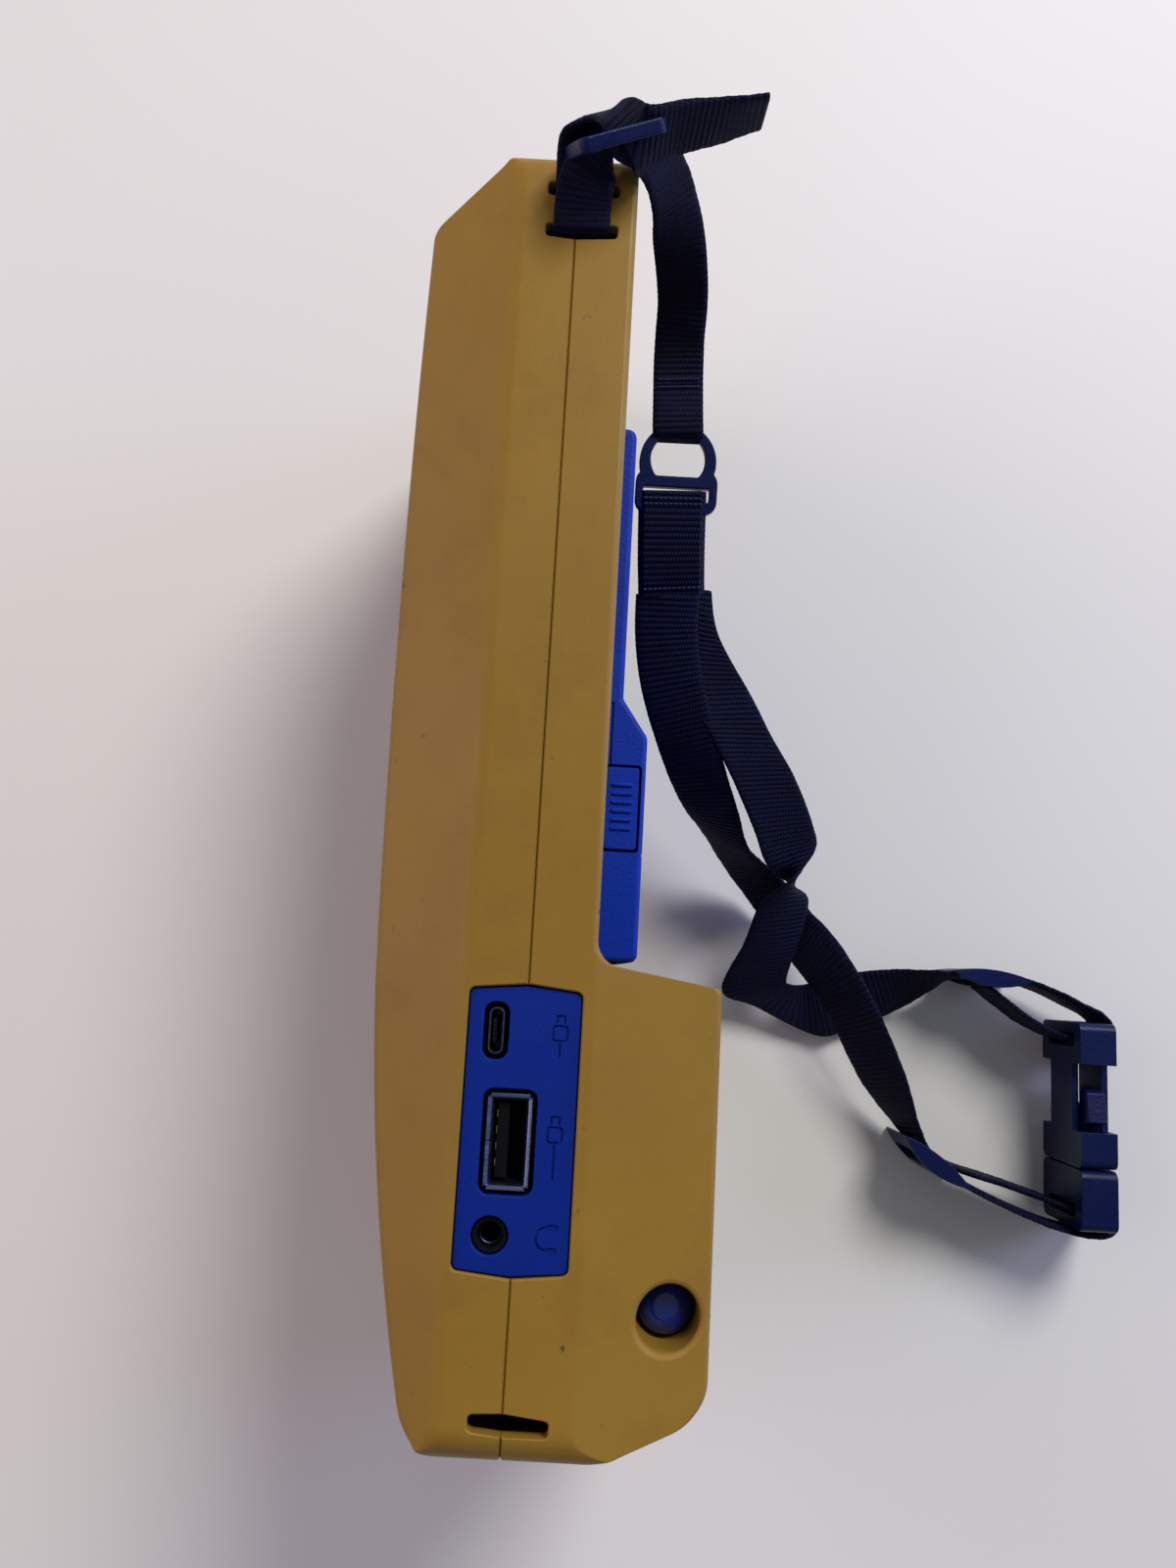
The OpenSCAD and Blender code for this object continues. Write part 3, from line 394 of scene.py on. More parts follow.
def noise(tree, scale, detail=2.0, rough=0.5):
    """Noise in object space; scale is in features for each metre."""
    made = add_node(tree, "ShaderNodeTexNoise", Scale=scale, Detail=detail, Roughness=rough)
    tree.links.new(object_place(tree), made.inputs["Vector"])
    return made.outputs["Fac"]


def ramp(tree, source, stops):
    """Colour ramp over (place, colour) stops."""
    made = tree.nodes.new("ShaderNodeValToRGB")
    tree.links.new(source, made.inputs["Fac"])
    while len(made.color_ramp.elements) < len(stops):
        made.color_ramp.elements.new(0.5)
    for element, (place, colour) in zip(made.color_ramp.elements, stops):
        element.position = place
        element.color = colour if len(colour) == 4 else (*colour, 1)
    return made.outputs["Color"]


def feed(tree, shader, label, source, stops):
    """A ramp over a source drives one input of the shader; a bare number in a stop is a grey."""
    stops = [(place, value if hasattr(value, "__len__") else (value,) * 3) for place, value in stops]
    tree.links.new(ramp(tree, source, stops), shader.inputs[label])


def shaded(colour, factor):
    return (*[min(1.0, c * factor) for c in colour[:3]], 1)


def bump(tree, shader, height, distance, strength=1.0, below=None):
    made = add_node(tree, "ShaderNodeBump", Strength=strength, Distance=distance)
    tree.links.new(height, made.inputs["Height"])
    if below is not None:
        tree.links.new(below, made.inputs["Normal"])
    tree.links.new(made.outputs["Normal"], shader.inputs["Normal"])
    return made.outputs["Normal"]


def mix(tree, factor, a, b, blend="MIX"):
    made = add_node(tree, "ShaderNodeMix", data_type="RGBA", blend_type=blend)
    for socket, value in ((0, factor), (6, a), (7, b)):
        if hasattr(value, "node"):
            tree.links.new(value, made.inputs[socket])
        else:
            made.inputs[socket].default_value = value
    return made.outputs[2]


def moulded(name, colour, rough=0.45, grain=2600.0, depth=0.00004, spread=0.16, stains=0.0, specular=0.5):
    """Moulded plastic: mottled colour, fine grain, and smudges where stains is above 0."""
    material, tree, shader = new_material(name)
    shader.inputs["Specular IOR Level"].default_value = specular
    tones = [(0.3, shaded(colour, 1 - spread)), (0.7, shaded(colour, 1 + spread))]
    tone = ramp(tree, noise(tree, 34, 4), tones)
    if stains:
        spots = noise(tree, 150, 3, 0.6)
        mask = ramp(tree, spots, [(0.66, (0, 0, 0)), (0.78, (stains,) * 3)])
        tone = mix(tree, mask, tone, shaded(colour, 0.45))
    tree.links.new(tone, shader.inputs["Base Color"])
    feed(tree, shader, "Roughness", noise(tree, 90, 3), [(0.3, rough - 0.07), (0.7, rough + 0.07)])
    bump(tree, shader, noise(tree, grain, 2), depth)
    return material


def case_plastic(colour):
    """Worn shells: warm mottling, patchy grime, small marks and lengthwise scratches."""
    material, tree, shader = new_material("shell_plastic")
    shader.inputs["Specular IOR Level"].default_value = 0.26
    tone = ramp(tree, noise(tree, 16, 5, 0.55), [(0.28, shaded(colour, 0.87)), (0.72, shaded(colour, 1.1))])
    grime = ramp(tree, noise(tree, 60, 5, 0.65), [(0.52, (0, 0, 0)), (0.8, (0.4, 0.4, 0.4))])
    tone = mix(tree, grime, tone, (0.15, 0.08, 0.025, 1))
    marks = ramp(tree, noise(tree, 420, 2, 0.4), [(0.75, (0, 0, 0)), (0.82, (0.75, 0.75, 0.75))])
    tone = mix(tree, marks, tone, (0.05, 0.035, 0.025, 1))
    streaks = streaked(tree, (2400, 50, 1400), 2.0)
    scratch = ramp(tree, streaks, [(0.72, (0, 0, 0)), (0.8, (0.16, 0.16, 0.16))])
    tone = mix(tree, scratch, tone, shaded(colour, 1.5))
    tree.links.new(tone, shader.inputs["Base Color"])
    feed(tree, shader, "Roughness", noise(tree, 45, 5, 0.6), [(0.25, 0.36), (0.75, 0.54)])
    wide = bump(tree, shader, noise(tree, 1500, 3, 0.6), 0.00005, 0.6)
    bump(tree, shader, noise(tree, 4200, 2), 0.00002, 0.6, wide)
    return material


def metal(name, colour, rough=0.3, streak=(60, 2200, 2200)):
    """Plated or brushed metal with drawn streaks and dull patches."""
    material, tree, shader = new_material(name)
    shader.inputs["Metallic"].default_value = 1.0
    lines = streaked(tree, streak, 3.0)
    feed(tree, shader, "Base Color", noise(tree, 300, 3), [(0.3, shaded(colour, 0.75)), (0.7, colour)])
    feed(tree, shader, "Roughness", lines, [(0.3, rough - 0.1), (0.7, rough + 0.12)])
    bump(tree, shader, lines, 0.00001)
    return material


def glossy(name, colour, rough=0.12, coat=0.6):
    """Polished plastic under a clear coat, a little scuffed."""
    material, tree, shader = new_material(name)
    shader.inputs["Coat Weight"].default_value = coat
    shader.inputs["Coat Roughness"].default_value = 0.06
    tones = [(0.3, shaded(colour, 0.75)), (0.7, shaded(colour, 1.15))]
    feed(tree, shader, "Base Color", noise(tree, 120, 4), tones)
    feed(tree, shader, "Roughness", noise(tree, 700, 4, 0.7), [(0.4, rough), (0.75, rough + 0.3)])
    bump(tree, shader, noise(tree, 900, 3), 0.00002)
    return material


def rubbery(name, colour):
    return moulded(name, colour, rough=0.72, grain=3800, depth=0.00003, specular=0.3)


def circuit(name):
    """Solder mask with copper tracks under it."""
    material, tree, shader = new_material(name)
    tracks = add_node(tree, "ShaderNodeTexBrick", Scale=260.0, offset=0.37, Mortar_Size=0.05,
                      Color1=(0.008, 0.07, 0.03, 1), Color2=(0.012, 0.1, 0.04, 1),
                      Mortar=(0.03, 0.2, 0.07, 1))
    tree.links.new(object_place(tree), tracks.inputs["Vector"])
    tree.links.new(tracks.outputs["Color"], shader.inputs["Base Color"])
    feed(tree, shader, "Roughness", noise(tree, 200, 2), [(0.3, 0.25), (0.7, 0.45)])
    bump(tree, shader, tracks.outputs["Fac"], 0.00003)
    return material


def woven(name, colour, rib_pitch, yarn_pitch=0.62 * MM):
    """Nylon webbing. The piece's own UV map is in metres: across the webbing, then along it."""
    material, tree, shader = new_material(name)
    uv = add_node(tree, "ShaderNodeUVMap", uv_map="weave")
    split = tree.nodes.new("ShaderNodeSeparateXYZ")
    tree.links.new(uv.outputs["UV"], split.inputs["Vector"])

    def math_node(operation, a, b=None):
        made = add_node(tree, "ShaderNodeMath", operation=operation)
        for k, value in enumerate((a, b)):
            if value is None:
                continue
            if hasattr(value, "node"):
                tree.links.new(value, made.inputs[k])
            else:
                made.inputs[k].default_value = value
        return made.outputs[0]

    across, along = split.outputs["X"], split.outputs["Y"]
    turn = 2 * math.pi
    rows = math_node("MULTIPLY", along, turn / rib_pitch)
    yarns = math_node("MULTIPLY", across, turn / yarn_pitch)
    half_row = math_node("MULTIPLY", rows, 0.5)
    swap = math_node("SINE", half_row)
    shift = math_node("ADD", yarns, math_node("MULTIPLY", math_node("SIGN", swap), 1.5708))
    over = math_node("SINE", shift)
    ribs = math_node("ABSOLUTE", math_node("SINE", half_row))
    height = math_node("MULTIPLY", ribs, math_node("ADD", math_node("MULTIPLY", over, 0.32), 0.68))
    slant = math_node("ADD", math_node("MULTIPLY", yarns, 4.0), math_node("MULTIPLY", rows, 1.5))
    fine = math_node("SINE", slant)
    height = math_node("ADD", height, math_node("MULTIPLY", fine, 0.07))
    # Painted light: the yarn is drawn 0.35 times as bright in the weave's valleys (painted shade) and 3 times
    # as bright on the rib tops (painted highlight).
    tone = ramp(tree, height, [(0.1, shaded(colour, 0.35)), (0.62, colour), (0.97, shaded(colour, 3.0))])
    worn = ramp(tree, noise(tree, 110, 4, 0.6), [(0.35, (0.8, 0.8, 0.8)), (0.75, (1.3, 1.3, 1.5))])
    tree.links.new(mix(tree, 1.0, tone, worn, "MULTIPLY"), shader.inputs["Base Color"])
    shader.inputs["Roughness"].default_value = 0.62
    shader.inputs["Specular IOR Level"].default_value = 0.12
    shader.inputs["Sheen Weight"].default_value = 0.03
    shader.inputs["Sheen Roughness"].default_value = 0.4
    shader.inputs["Sheen Tint"].default_value = (0.25, 0.32, 0.75, 1)
    under = bump(tree, shader, height, 0.00022, 1.0)
    bump(tree, shader, noise(tree, 5200, 2), 0.00005, 0.7, under)
    return material


def glass(name):
    """Anti-glare glass."""
    material, tree, shader = new_material(name)
    shader.inputs["Base Color"].default_value = (0.78, 0.82, 0.84, 1)
    shader.inputs["Transmission Weight"].default_value = 0.9
    shader.inputs["IOR"].default_value = 1.45
    feed(tree, shader, "Roughness", noise(tree, 60, 4), [(0.4, 0.05), (0.8, 0.16)])
    bump(tree, shader, noise(tree, 2500, 2), 0.000006)
    return material


def screen(name):
    """A dark reflective display with its dot rows."""
    material, tree, shader = new_material(name)
    dots = add_node(tree, "ShaderNodeTexBrick", Scale=2600.0, offset=0.0, Mortar_Size=0.03,
                    Color1=(0.11, 0.125, 0.12, 1), Color2=(0.12, 0.135, 0.125, 1),
                    Mortar=(0.05, 0.06, 0.055, 1))
    turned = object_place(tree, Rotation=(0, math.pi / 2, 0))
    tree.links.new(turned, dots.inputs["Vector"])
    tree.links.new(dots.outputs["Color"], shader.inputs["Base Color"])
    shader.inputs["Roughness"].default_value = 0.3
    return material


def make_materials(scene):
    case, strap, part = scene.collector_case, scene.collector_strap, scene.collector_part
    blue, plastic = tuple(part.panel_colour), tuple(part.plastic_colour)
    MATERIALS.update({
        "shell": case_plastic(tuple(case.colour)),
        "fascia": moulded("fascia_plastic", (0.012, 0.03, 0.085), 0.5, 2200, 0.00005),
        "glass": glass("display_glass"),
        "screen": screen("display_screen"),
        "mask": moulded("window_print", (0.006, 0.006, 0.008), 0.35, 3000, 0.00001),
        "board": circuit("board_mask"),
        "steel": metal("screw_steel", (0.62, 0.62, 0.65, 1), 0.34),
        # The connector metal's blue tint is a painted reflection of the blue surroundings, not the metal's
        # own colour.
        "connector": metal("connector_blue_reflection", (0.2, 0.25, 0.46, 1), 0.3),
        "socket_skin": metal("socket_skin", (0.1, 0.12, 0.2, 1), 0.4),
        "gold": metal("contact_gold", (0.9, 0.62, 0.24, 1), 0.28),
        "key": rubbery("key_rubber", (0.16, 0.18, 0.22)),
        "key_red": rubbery("key_rubber_red", (0.4, 0.03, 0.02)),
        "legend": moulded("key_print", (0.75, 0.76, 0.74), 0.55, 3000, 0.00001, 0.05),
        "membrane": rubbery("membrane_rubber", (0.5, 0.51, 0.5)),
        "seal": rubbery("seal_rubber", (0.02, 0.02, 0.022)),
        "panel": moulded("panel_plastic", blue, 0.55, 1900, 0.00006, 0.12, 0.25, 0.14),
        "pack": moulded("pack_plastic", shaded(blue, 1.45), 0.5, 1700, 0.00007, 0.14, 0.3, 0.14),
        "tray": moulded("tray_plastic", (0.03, 0.03, 0.034), 0.5, 2200, 0.00005),
        "cells": moulded("cell_sleeve", (0.1, 0.16, 0.3), 0.3, 900, 0.00003),
        "black": moulded("black_plastic", (0.003, 0.003, 0.005), 0.5, 2600, 0.00003, 0.16, 0.0, 0.12),
        "can": metal("shield_can", (0.55, 0.56, 0.58, 1), 0.38, (900, 900, 900)),
        "plug": glossy("plug_gloss", (0.001, 0.02, 0.24)),
        "strap_plastic": moulded("strap_plastic", plastic, 0.4, 1500, 0.00008, 0.2, 0.15, 0.2),
        "webbing": woven("webbing_weave", tuple(strap.colour), strap.rib_pitch),
        "tether": woven("tether_weave", tuple(strap.colour), strap.rib_pitch * 0.9, 0.5 * MM),
        "thread": rubbery("thread_nylon", (0.012, 0.018, 0.08)),
    })


def dress_node(node, material):
    """A CAD node that stays gets its finish."""
    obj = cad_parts[node]
    obj.data.materials.clear()
    obj.data.materials.append(MATERIALS[material])


# ---------------------------------------------------------------- the case's shape

BELLY_R = 2200.0
BELLY = (X_FRONT + BELLY_R, Y_TOP - 72.5)
JOIN_Y = Y_BOTTOM + 77.5
JOIN_A = math.asin((BELLY[1] - JOIN_Y) / BELLY_R)
CHIN_R = 330.0
CORNER_R = 9.0
CHIN = (BELLY[0] - (BELLY_R - CHIN_R) * math.cos(JOIN_A), BELLY[1] - (BELLY_R - CHIN_R) * math.sin(JOIN_A))
CORNER_Y = Y_BOTTOM + CORNER_R
CORNER_X = CHIN[0] - math.sqrt((CHIN_R - CORNER_R) ** 2 - (CHIN[1] - CORNER_Y) ** 2)
CORNER_A = math.atan2(CHIN[1] - CORNER_Y, CHIN[0] - CORNER_X)
CHAMFER_DROP = 9.8


def swept(centre, radius, start, end, count):
    """Points of an arc whose angle is measured down from straight ahead of the display face."""
    angles = [start + (end - start) * k / count for k in range(count + 1)]
    return [(centre[0] - radius * math.cos(a), centre[1] - radius * math.sin(a)) for a in angles]


def face_x(y):
    """X of the display face at a height."""
    if y > JOIN_Y:
        return BELLY[0] - math.sqrt(BELLY_R**2 - (y - BELLY[1]) ** 2)
    return CHIN[0] - math.sqrt(CHIN_R**2 - (y - CHIN[1]) ** 2)


def front_line():
    """The display side's outline from the bottom end to the top end, as (x, y)."""
    line = swept((CORNER_X, CORNER_Y), CORNER_R, math.pi / 2, CORNER_A, 10)
    line += swept(CHIN, CHIN_R, CORNER_A, JOIN_A, 18)[1:]
    chamfer_x = RIDGE_X + 1
    low_y = Y_TOP - CHAMFER_DROP
    low = (face_x(low_y), low_y)
    line += swept(BELLY, BELLY_R, JOIN_A, math.asin((BELLY[1] - low_y + 4) / BELLY_R), 22)[1:]
    high = (chamfer_x, Y_TOP)
    line += corner_arc(line[-1], low, high, 3.0, 5)
    line += corner_arc(low, high, (FLAT_X, Y_TOP), 2.2, 6)
    return line


def back_line():
    """The back's outline from the bottom end to the top end, as (x, y)."""
    corners = [(FLAT_X - 6, Y_BOTTOM, 0), (FLAT_X + 2, Y_BOTTOM, 6), (X_BACK - 3.2, Y_BOTTOM + 5.4, 7.8),
               (X_BACK, Y_BOTTOM + 9.4, 7.6), (X_BACK, STEP_Y - STEP_FALL, 1.2), (FLAT_X, STEP_Y, 4),
               (FLAT_X, Y_TOP, 1.4), (FLAT_X - 6, Y_TOP, 0)]
    line = []
    for i, (x, y, radius) in enumerate(corners):
        if radius == 0:
            continue
        line += corner_arc(corners[i - 1][:2], (x, y), corners[i + 1][:2], radius, 9)
    return line


FRONT_LINE = np.array(front_line())
BACK_LINE = np.array(back_line())


def line_x(line, y, inset, pick):
    """The outermost X, by pick, of a wall line within inset of a height."""
    ys = [y] if inset == 0 else [y - inset, y - inset / 2, y, y + inset / 2, y + inset]
    return pick(np.interp(np.clip(v, Y_BOTTOM, Y_TOP), line[:, 1], line[:, 0]) for v in ys)


def spread(a, b, count):
    """Points strictly between two others."""
    return [lerp(a, b, (k + 1) / (count + 1)) for k in range(count)]


def half_section(y, inset, case):
    """Half of the case's section at a height: (x, distance from the middle), from front to back."""
    end_round, ridge_round, rim_round = (v / MM for v in (case.end_round, case.ridge_round, case.rim_round))
    end = min(y - Y_BOTTOM, Y_TOP - y) - inset
    radius = max(end_round - inset / 2, 0.5)
    pull = radius - math.sqrt(radius**2 - (radius - end) ** 2) if end < radius else 0.0
    half = Z_MID - inset - pull
    xf, xb = line_x(FRONT_LINE, y, inset, max) + inset, line_x(BACK_LINE, y, inset, min) - inset
    front_shift = inset / math.cos(FRONT_SLOPE)
    bulge_shift = inset / math.cos(BULGE_SLOPE)
    ridge = RIDGE_X - (inset + pull - front_shift) / FRONT_TAN
    front_half = half
    if ridge > xf + 0.05:
        front_half = Z_MID - (RIDGE_X - xf) * FRONT_TAN - front_shift
    else:
        ridge = xf + 0.05
    hip = FLAT_X + (inset + pull - bulge_shift) / BULGE_TAN
    back_half = half
    bulged = xb > hip + 1.0
    if bulged:
        back_half = Z_MID - (xb - FLAT_X) * BULGE_TAN - bulge_shift
    middle_front, middle_back = (xf, 0.0), (xb, 0.0)
    a, b = (xf, front_half), (ridge, half)
    c, d = (hip if bulged else xb, half), (xb, back_half)
    arc_a = corner_arc(middle_front, a, b, 2.4, 7)
    arc_b = corner_arc(a, b, c, ridge_round, 7)
    if bulged:
        arc_c = corner_arc(b, c, d, 3.0, 7)
        arc_d = corner_arc(c, d, middle_back, 1.5, 7)
        back = arc_c + spread(arc_c[-1], arc_d[0], 2) + arc_d
    else:
        back = corner_arc(b, c, middle_back, rim_round, 16)
    points = [middle_front] + spread(middle_front, arc_a[0], 3) + arc_a + spread(arc_a[-1], arc_b[0], 3)
    points += arc_b + spread(arc_b[-1], back[0], 5) + back + spread(back[-1], middle_back, 3) + [middle_back]
    return points


def case_body(name, inset, case):
    """The whole case as one closed skin, pulled in by inset."""
    low, high = Y_BOTTOM + inset, Y_TOP - inset
    end_round = max(case.end_round / MM - inset / 2, 0.5)
    heights = {low, high}
    for k in range(11):
        depth = end_round * (1 - math.cos(math.pi / 2 * k / 10))
        heights |= {low + depth, high - depth}
    for line in (FRONT_LINE, BACK_LINE):
        for (x0, y0), (x1, y1) in zip(line[:-1], line[1:]):
            pieces = max(1, math.ceil(abs(x1 - x0) / 1.6))
            heights |= {y0 + (y1 - y0) * k / pieces for k in range(pieces + 1)}
    heights = sorted(y for y in heights if low <= y <= high)
    kept = [heights[0]]
    for y in heights[1:-1]:
        if y - kept[-1] > 0.08 and heights[-1] - y > 0.08:
            while y - kept[-1] > 6:
                kept.append(kept[-1] + 5)
            kept.append(y)
    kept.append(heights[-1])
    rings = []
    for y in kept:
        side = half_section(y, inset, case)
        ring = [(x, y, Z_MID + z) for x, z in side]
        ring += [(x, y, Z_MID - z) for x, z in side[-2:0:-1]]
        rings.append(ring)
    count = len(rings[0])
    faces = side_faces(len(rings), count)
    for base, turned in ((0, True), ((len(rings) - 1) * count, False)):
        for k in range(count // 2):
            a, b = base + k, base + k + 1
            c, d = base + (count - k - 1) % count, base + (count - k) % count
            quad = [v for i, v in enumerate((a, b, c, d)) if v not in (a, b, c, d)[:i]]
            faces.append(tuple(quad[::-1] if turned else quad))
    return object_from(name, [p for ring in rings for p in ring], faces)


def half_shell(name, sign, case):
    """One shell: the skin on one side of the seam, its wall, and a small bevel along the seam."""
    seam = case.seam_width / MM
    outer = case_body(name, 0.0, case)
    inner = case_body(name + "_inside", WALL, case)
    bm = bmesh.new()

    def add_skin(obj, plane, flip):
        part = bmesh.new()
        part.from_mesh(obj.data)
        bpy.data.objects.remove(obj)
        bmesh.ops.bisect_plane(part, geom=part.verts[:] + part.edges[:] + part.faces[:], dist=1e-5,
                               plane_co=(plane, 0, 0), plane_no=(sign, 0, 0), clear_inner=True)
        if flip:
            bmesh.ops.reverse_faces(part, faces=part.faces)
        mesh = bpy.data.meshes.new("skin")
        part.to_mesh(mesh)
        part.free()
        before = len(bm.verts)
        bm.from_mesh(mesh)
        bpy.data.meshes.remove(mesh)
        bm.verts.ensure_lookup_table()
        new = set(bm.verts[before:])
        bm.normal_update()
        return [e for e in bm.edges if e.is_boundary and e.verts[0] in new]

    outer_rim = add_skin(outer, PART_X + sign * seam / 2, False)
    slope = bmesh.ops.extrude_edge_only(bm, edges=outer_rim)["geom"]
    lip_verts = [v for v in slope if isinstance(v, bmesh.types.BMVert)]
    outward = {}
    for v in lip_verts:
        mate = next(e.other_vert(v) for e in v.link_edges if e.other_vert(v) not in lip_verts)
        outward[v] = Vector((0, mate.normal.y, mate.normal.z)).normalized()
    for v, n in outward.items():
        v.co -= n * seam * 0.6
        v.co.x = PART_X + sign * 0.04
    lip = [e for e in slope if isinstance(e, bmesh.types.BMEdge)]
    inner_rim = add_skin(inner, PART_X + sign * 0.04, True)
    bmesh.ops.bridge_loops(bm, edges=lip + inner_rim)
    bmesh.ops.recalc_face_normals(bm, faces=bm.faces)
    return placed_bmesh(name, bm)


# ---------------------------------------------------------------- places shared by pieces

WINDOW = cad_box("display_window")
PANEL_LOW, PANEL_HIGH = cad_box("port_panel")
FASCIA_LOW, FASCIA_HIGH = cad_box("fascia")
PACK_LOW = cad_box("battery_tray")[0]
PACK_HIGH = cad_box("battery_cover")[1]
SPLIT_X = cad_box("battery_cover")[0].x
PLUG_LOW, PLUG_HIGH = cad_box("side_plug")
PLUG_X, PLUG_Y = (PLUG_LOW.x + PLUG_HIGH.x) / 2, (PLUG_LOW.y + PLUG_HIGH.y) / 2
PLUG_R = (PLUG_HIGH.x - PLUG_LOW.x) / 2
SEAT_Z = cad_box("plug_ring")[0].z
RECESS_R = 5.0
KEY_NAMES = [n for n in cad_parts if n.startswith("key_")]
KEY_FLANGE = 1.0
KINK = 0.9
SLOT_X = (PART_X - 5.1, PART_X + 7.3)
SLOTS_Y = (Y_TOP - 15.9, Y_TOP - 8.1)
LOW_SLOT_Y = Y_BOTTOM + 6.2
SLOT_DEPTH = 6.4
BAY_GAP = 0.3
FASCIA_SEAT = 1.0  # depth of the fascia's recess under the display face
FIT = 0.15


def kinked(x0, y0, x1, y1, kink, radius):
    """A box outline that widens to a blunt point where the seam crosses it."""
    return rounded([(x0, y0), (PART_X, y0 - kink), (x1, y0), (x1, y1), (PART_X, y1 + kink), (x0, y1)],
                   [radius, 1.0, radius, radius, 1.0, radius], 5)


def flared(name, outline, low, high, flare):
    """A cutter from low to high that widens by flare on both sides of the case's side wall."""
    cx = sum(p[0] for p in outline) / len(outline)
    cy = sum(p[1] for p in outline) / len(outline)

    def ring(level, grow):
        grown = []
        for i, p in enumerate(outline):
            along = Vector(outline[(i + 1) % len(outline)]) - Vector(outline[i - 1])
            n = Vector((along.y, -along.x)).normalized() if along.length > 1e-9 else Vector((0, 0))
            if n.dot(Vector(p) - Vector((cx, cy))) < 0:
                n = -n
            grown.append((p[0] + n.x * grow, p[1] + n.y * grow, level))
        return grown

    return loft(name, [ring(low, 0), ring(CASE_WIDTH - flare, 0), ring(CASE_WIDTH + flare, 2 * flare),
                       ring(high, 2 * flare)])


def key_outline(name, grow):
    """A key's outline as (y, z), from its CAD node."""
    low, high = cad_box(name)
    inset = KEY_FLANGE - grow
    y0, y1, z0, z1 = low.y + inset, high.y - inset, low.z + inset, high.z - inset
    if name == "key_select":
        return circle((y0 + y1) / 2, (z0 + z1) / 2, (y1 - y0) / 2, 40)
    return rounded_box(y0, z0, y1, z1, 1.8 + grow, 6)


def key_cutters(grow):
    """Holes for all the keys, from in front of the display face to behind it."""
    return join([prism("key_hole", [key_outline(n, grow)], X_FRONT - 6, X_FRONT + 13, axis="x")
                 for n in KEY_NAMES], "key_holes")


def strap_cutters():
    """Slots for the straps on both sides: two by the top with a bar between them, one by the bottom."""
    x0, x1 = SLOT_X
    outlines = [kinked(x0, y - 1.15, x1, y + 1.15, 0.5, 0.7) for y in SLOTS_Y]
    low_slot = [(x0, -0.95), (PART_X, -1.5), (x1 - 0.4, -1.45), (x1 - 0.3, 0.95), (PART_X, 1.75), (x0, 1.45)]
    outlines.append(rounded([(x, LOW_SLOT_Y + y) for x, y in low_slot], [0.8, 1, 0.7, 0.7, 1, 0.8], 5))
    cutters = [flared("slot", outline, CASE_WIDTH - SLOT_DEPTH, CASE_WIDTH + 1, 0.2) for outline in outlines]
    far = [mirrored_copy(c, "far_slot") for c in cutters]
    return join(cutters + far, "strap_slots")


def port_cutter():
    outline = kinked(PANEL_LOW.x - FIT, PANEL_LOW.y - FIT, PANEL_HIGH.x + FIT, PANEL_HIGH.y + FIT, KINK, 1.1)
    return flared("port_opening", outline, PANEL_LOW.z - 6, CASE_WIDTH + 2, 0.22)


def pierce_front(shell):
    """Openings of the front shell."""
    ys = np.linspace(FASCIA_LOW.y - FIT, FASCIA_HIGH.y + FIT, 26)
    z0, z1 = FASCIA_LOW.z - FIT, FASCIA_HIGH.z + FIT
    recess = loft("fascia_recess", [[(X_FRONT - 4, y, z0), (X_FRONT - 4, y, z1),
                                     (face_x(y) + FASCIA_SEAT, y, z1), (face_x(y) + FASCIA_SEAT, y, z0)]
                                    for y in ys])
    low, high = WINDOW
    window = prism("window_opening", [face_box(low, high, FIT, 2.5)], X_FRONT - 4, high.x + 3, axis="x")
    rim = prism("window_rim", [face_box(low, high, 0.6, 3)], X_FRONT - 4, X_FRONT + 0.55, axis="x")
    combine(shell, [recess, window, rim, key_cutters(0.3), port_cutter(), strap_cutters()], "DIFFERENCE")


# Height, distance from the middle, and seat of each pair of case screws
SCREWS = [(Y_TOP - 16, 22.0, FLAT_X - 2.2), (Y_TOP - 87.5, Z_MID - 8.3, FLAT_X - 2.2),
          (Y_BOTTOM + 10.5, 22.0, FLAT_X + 3)]


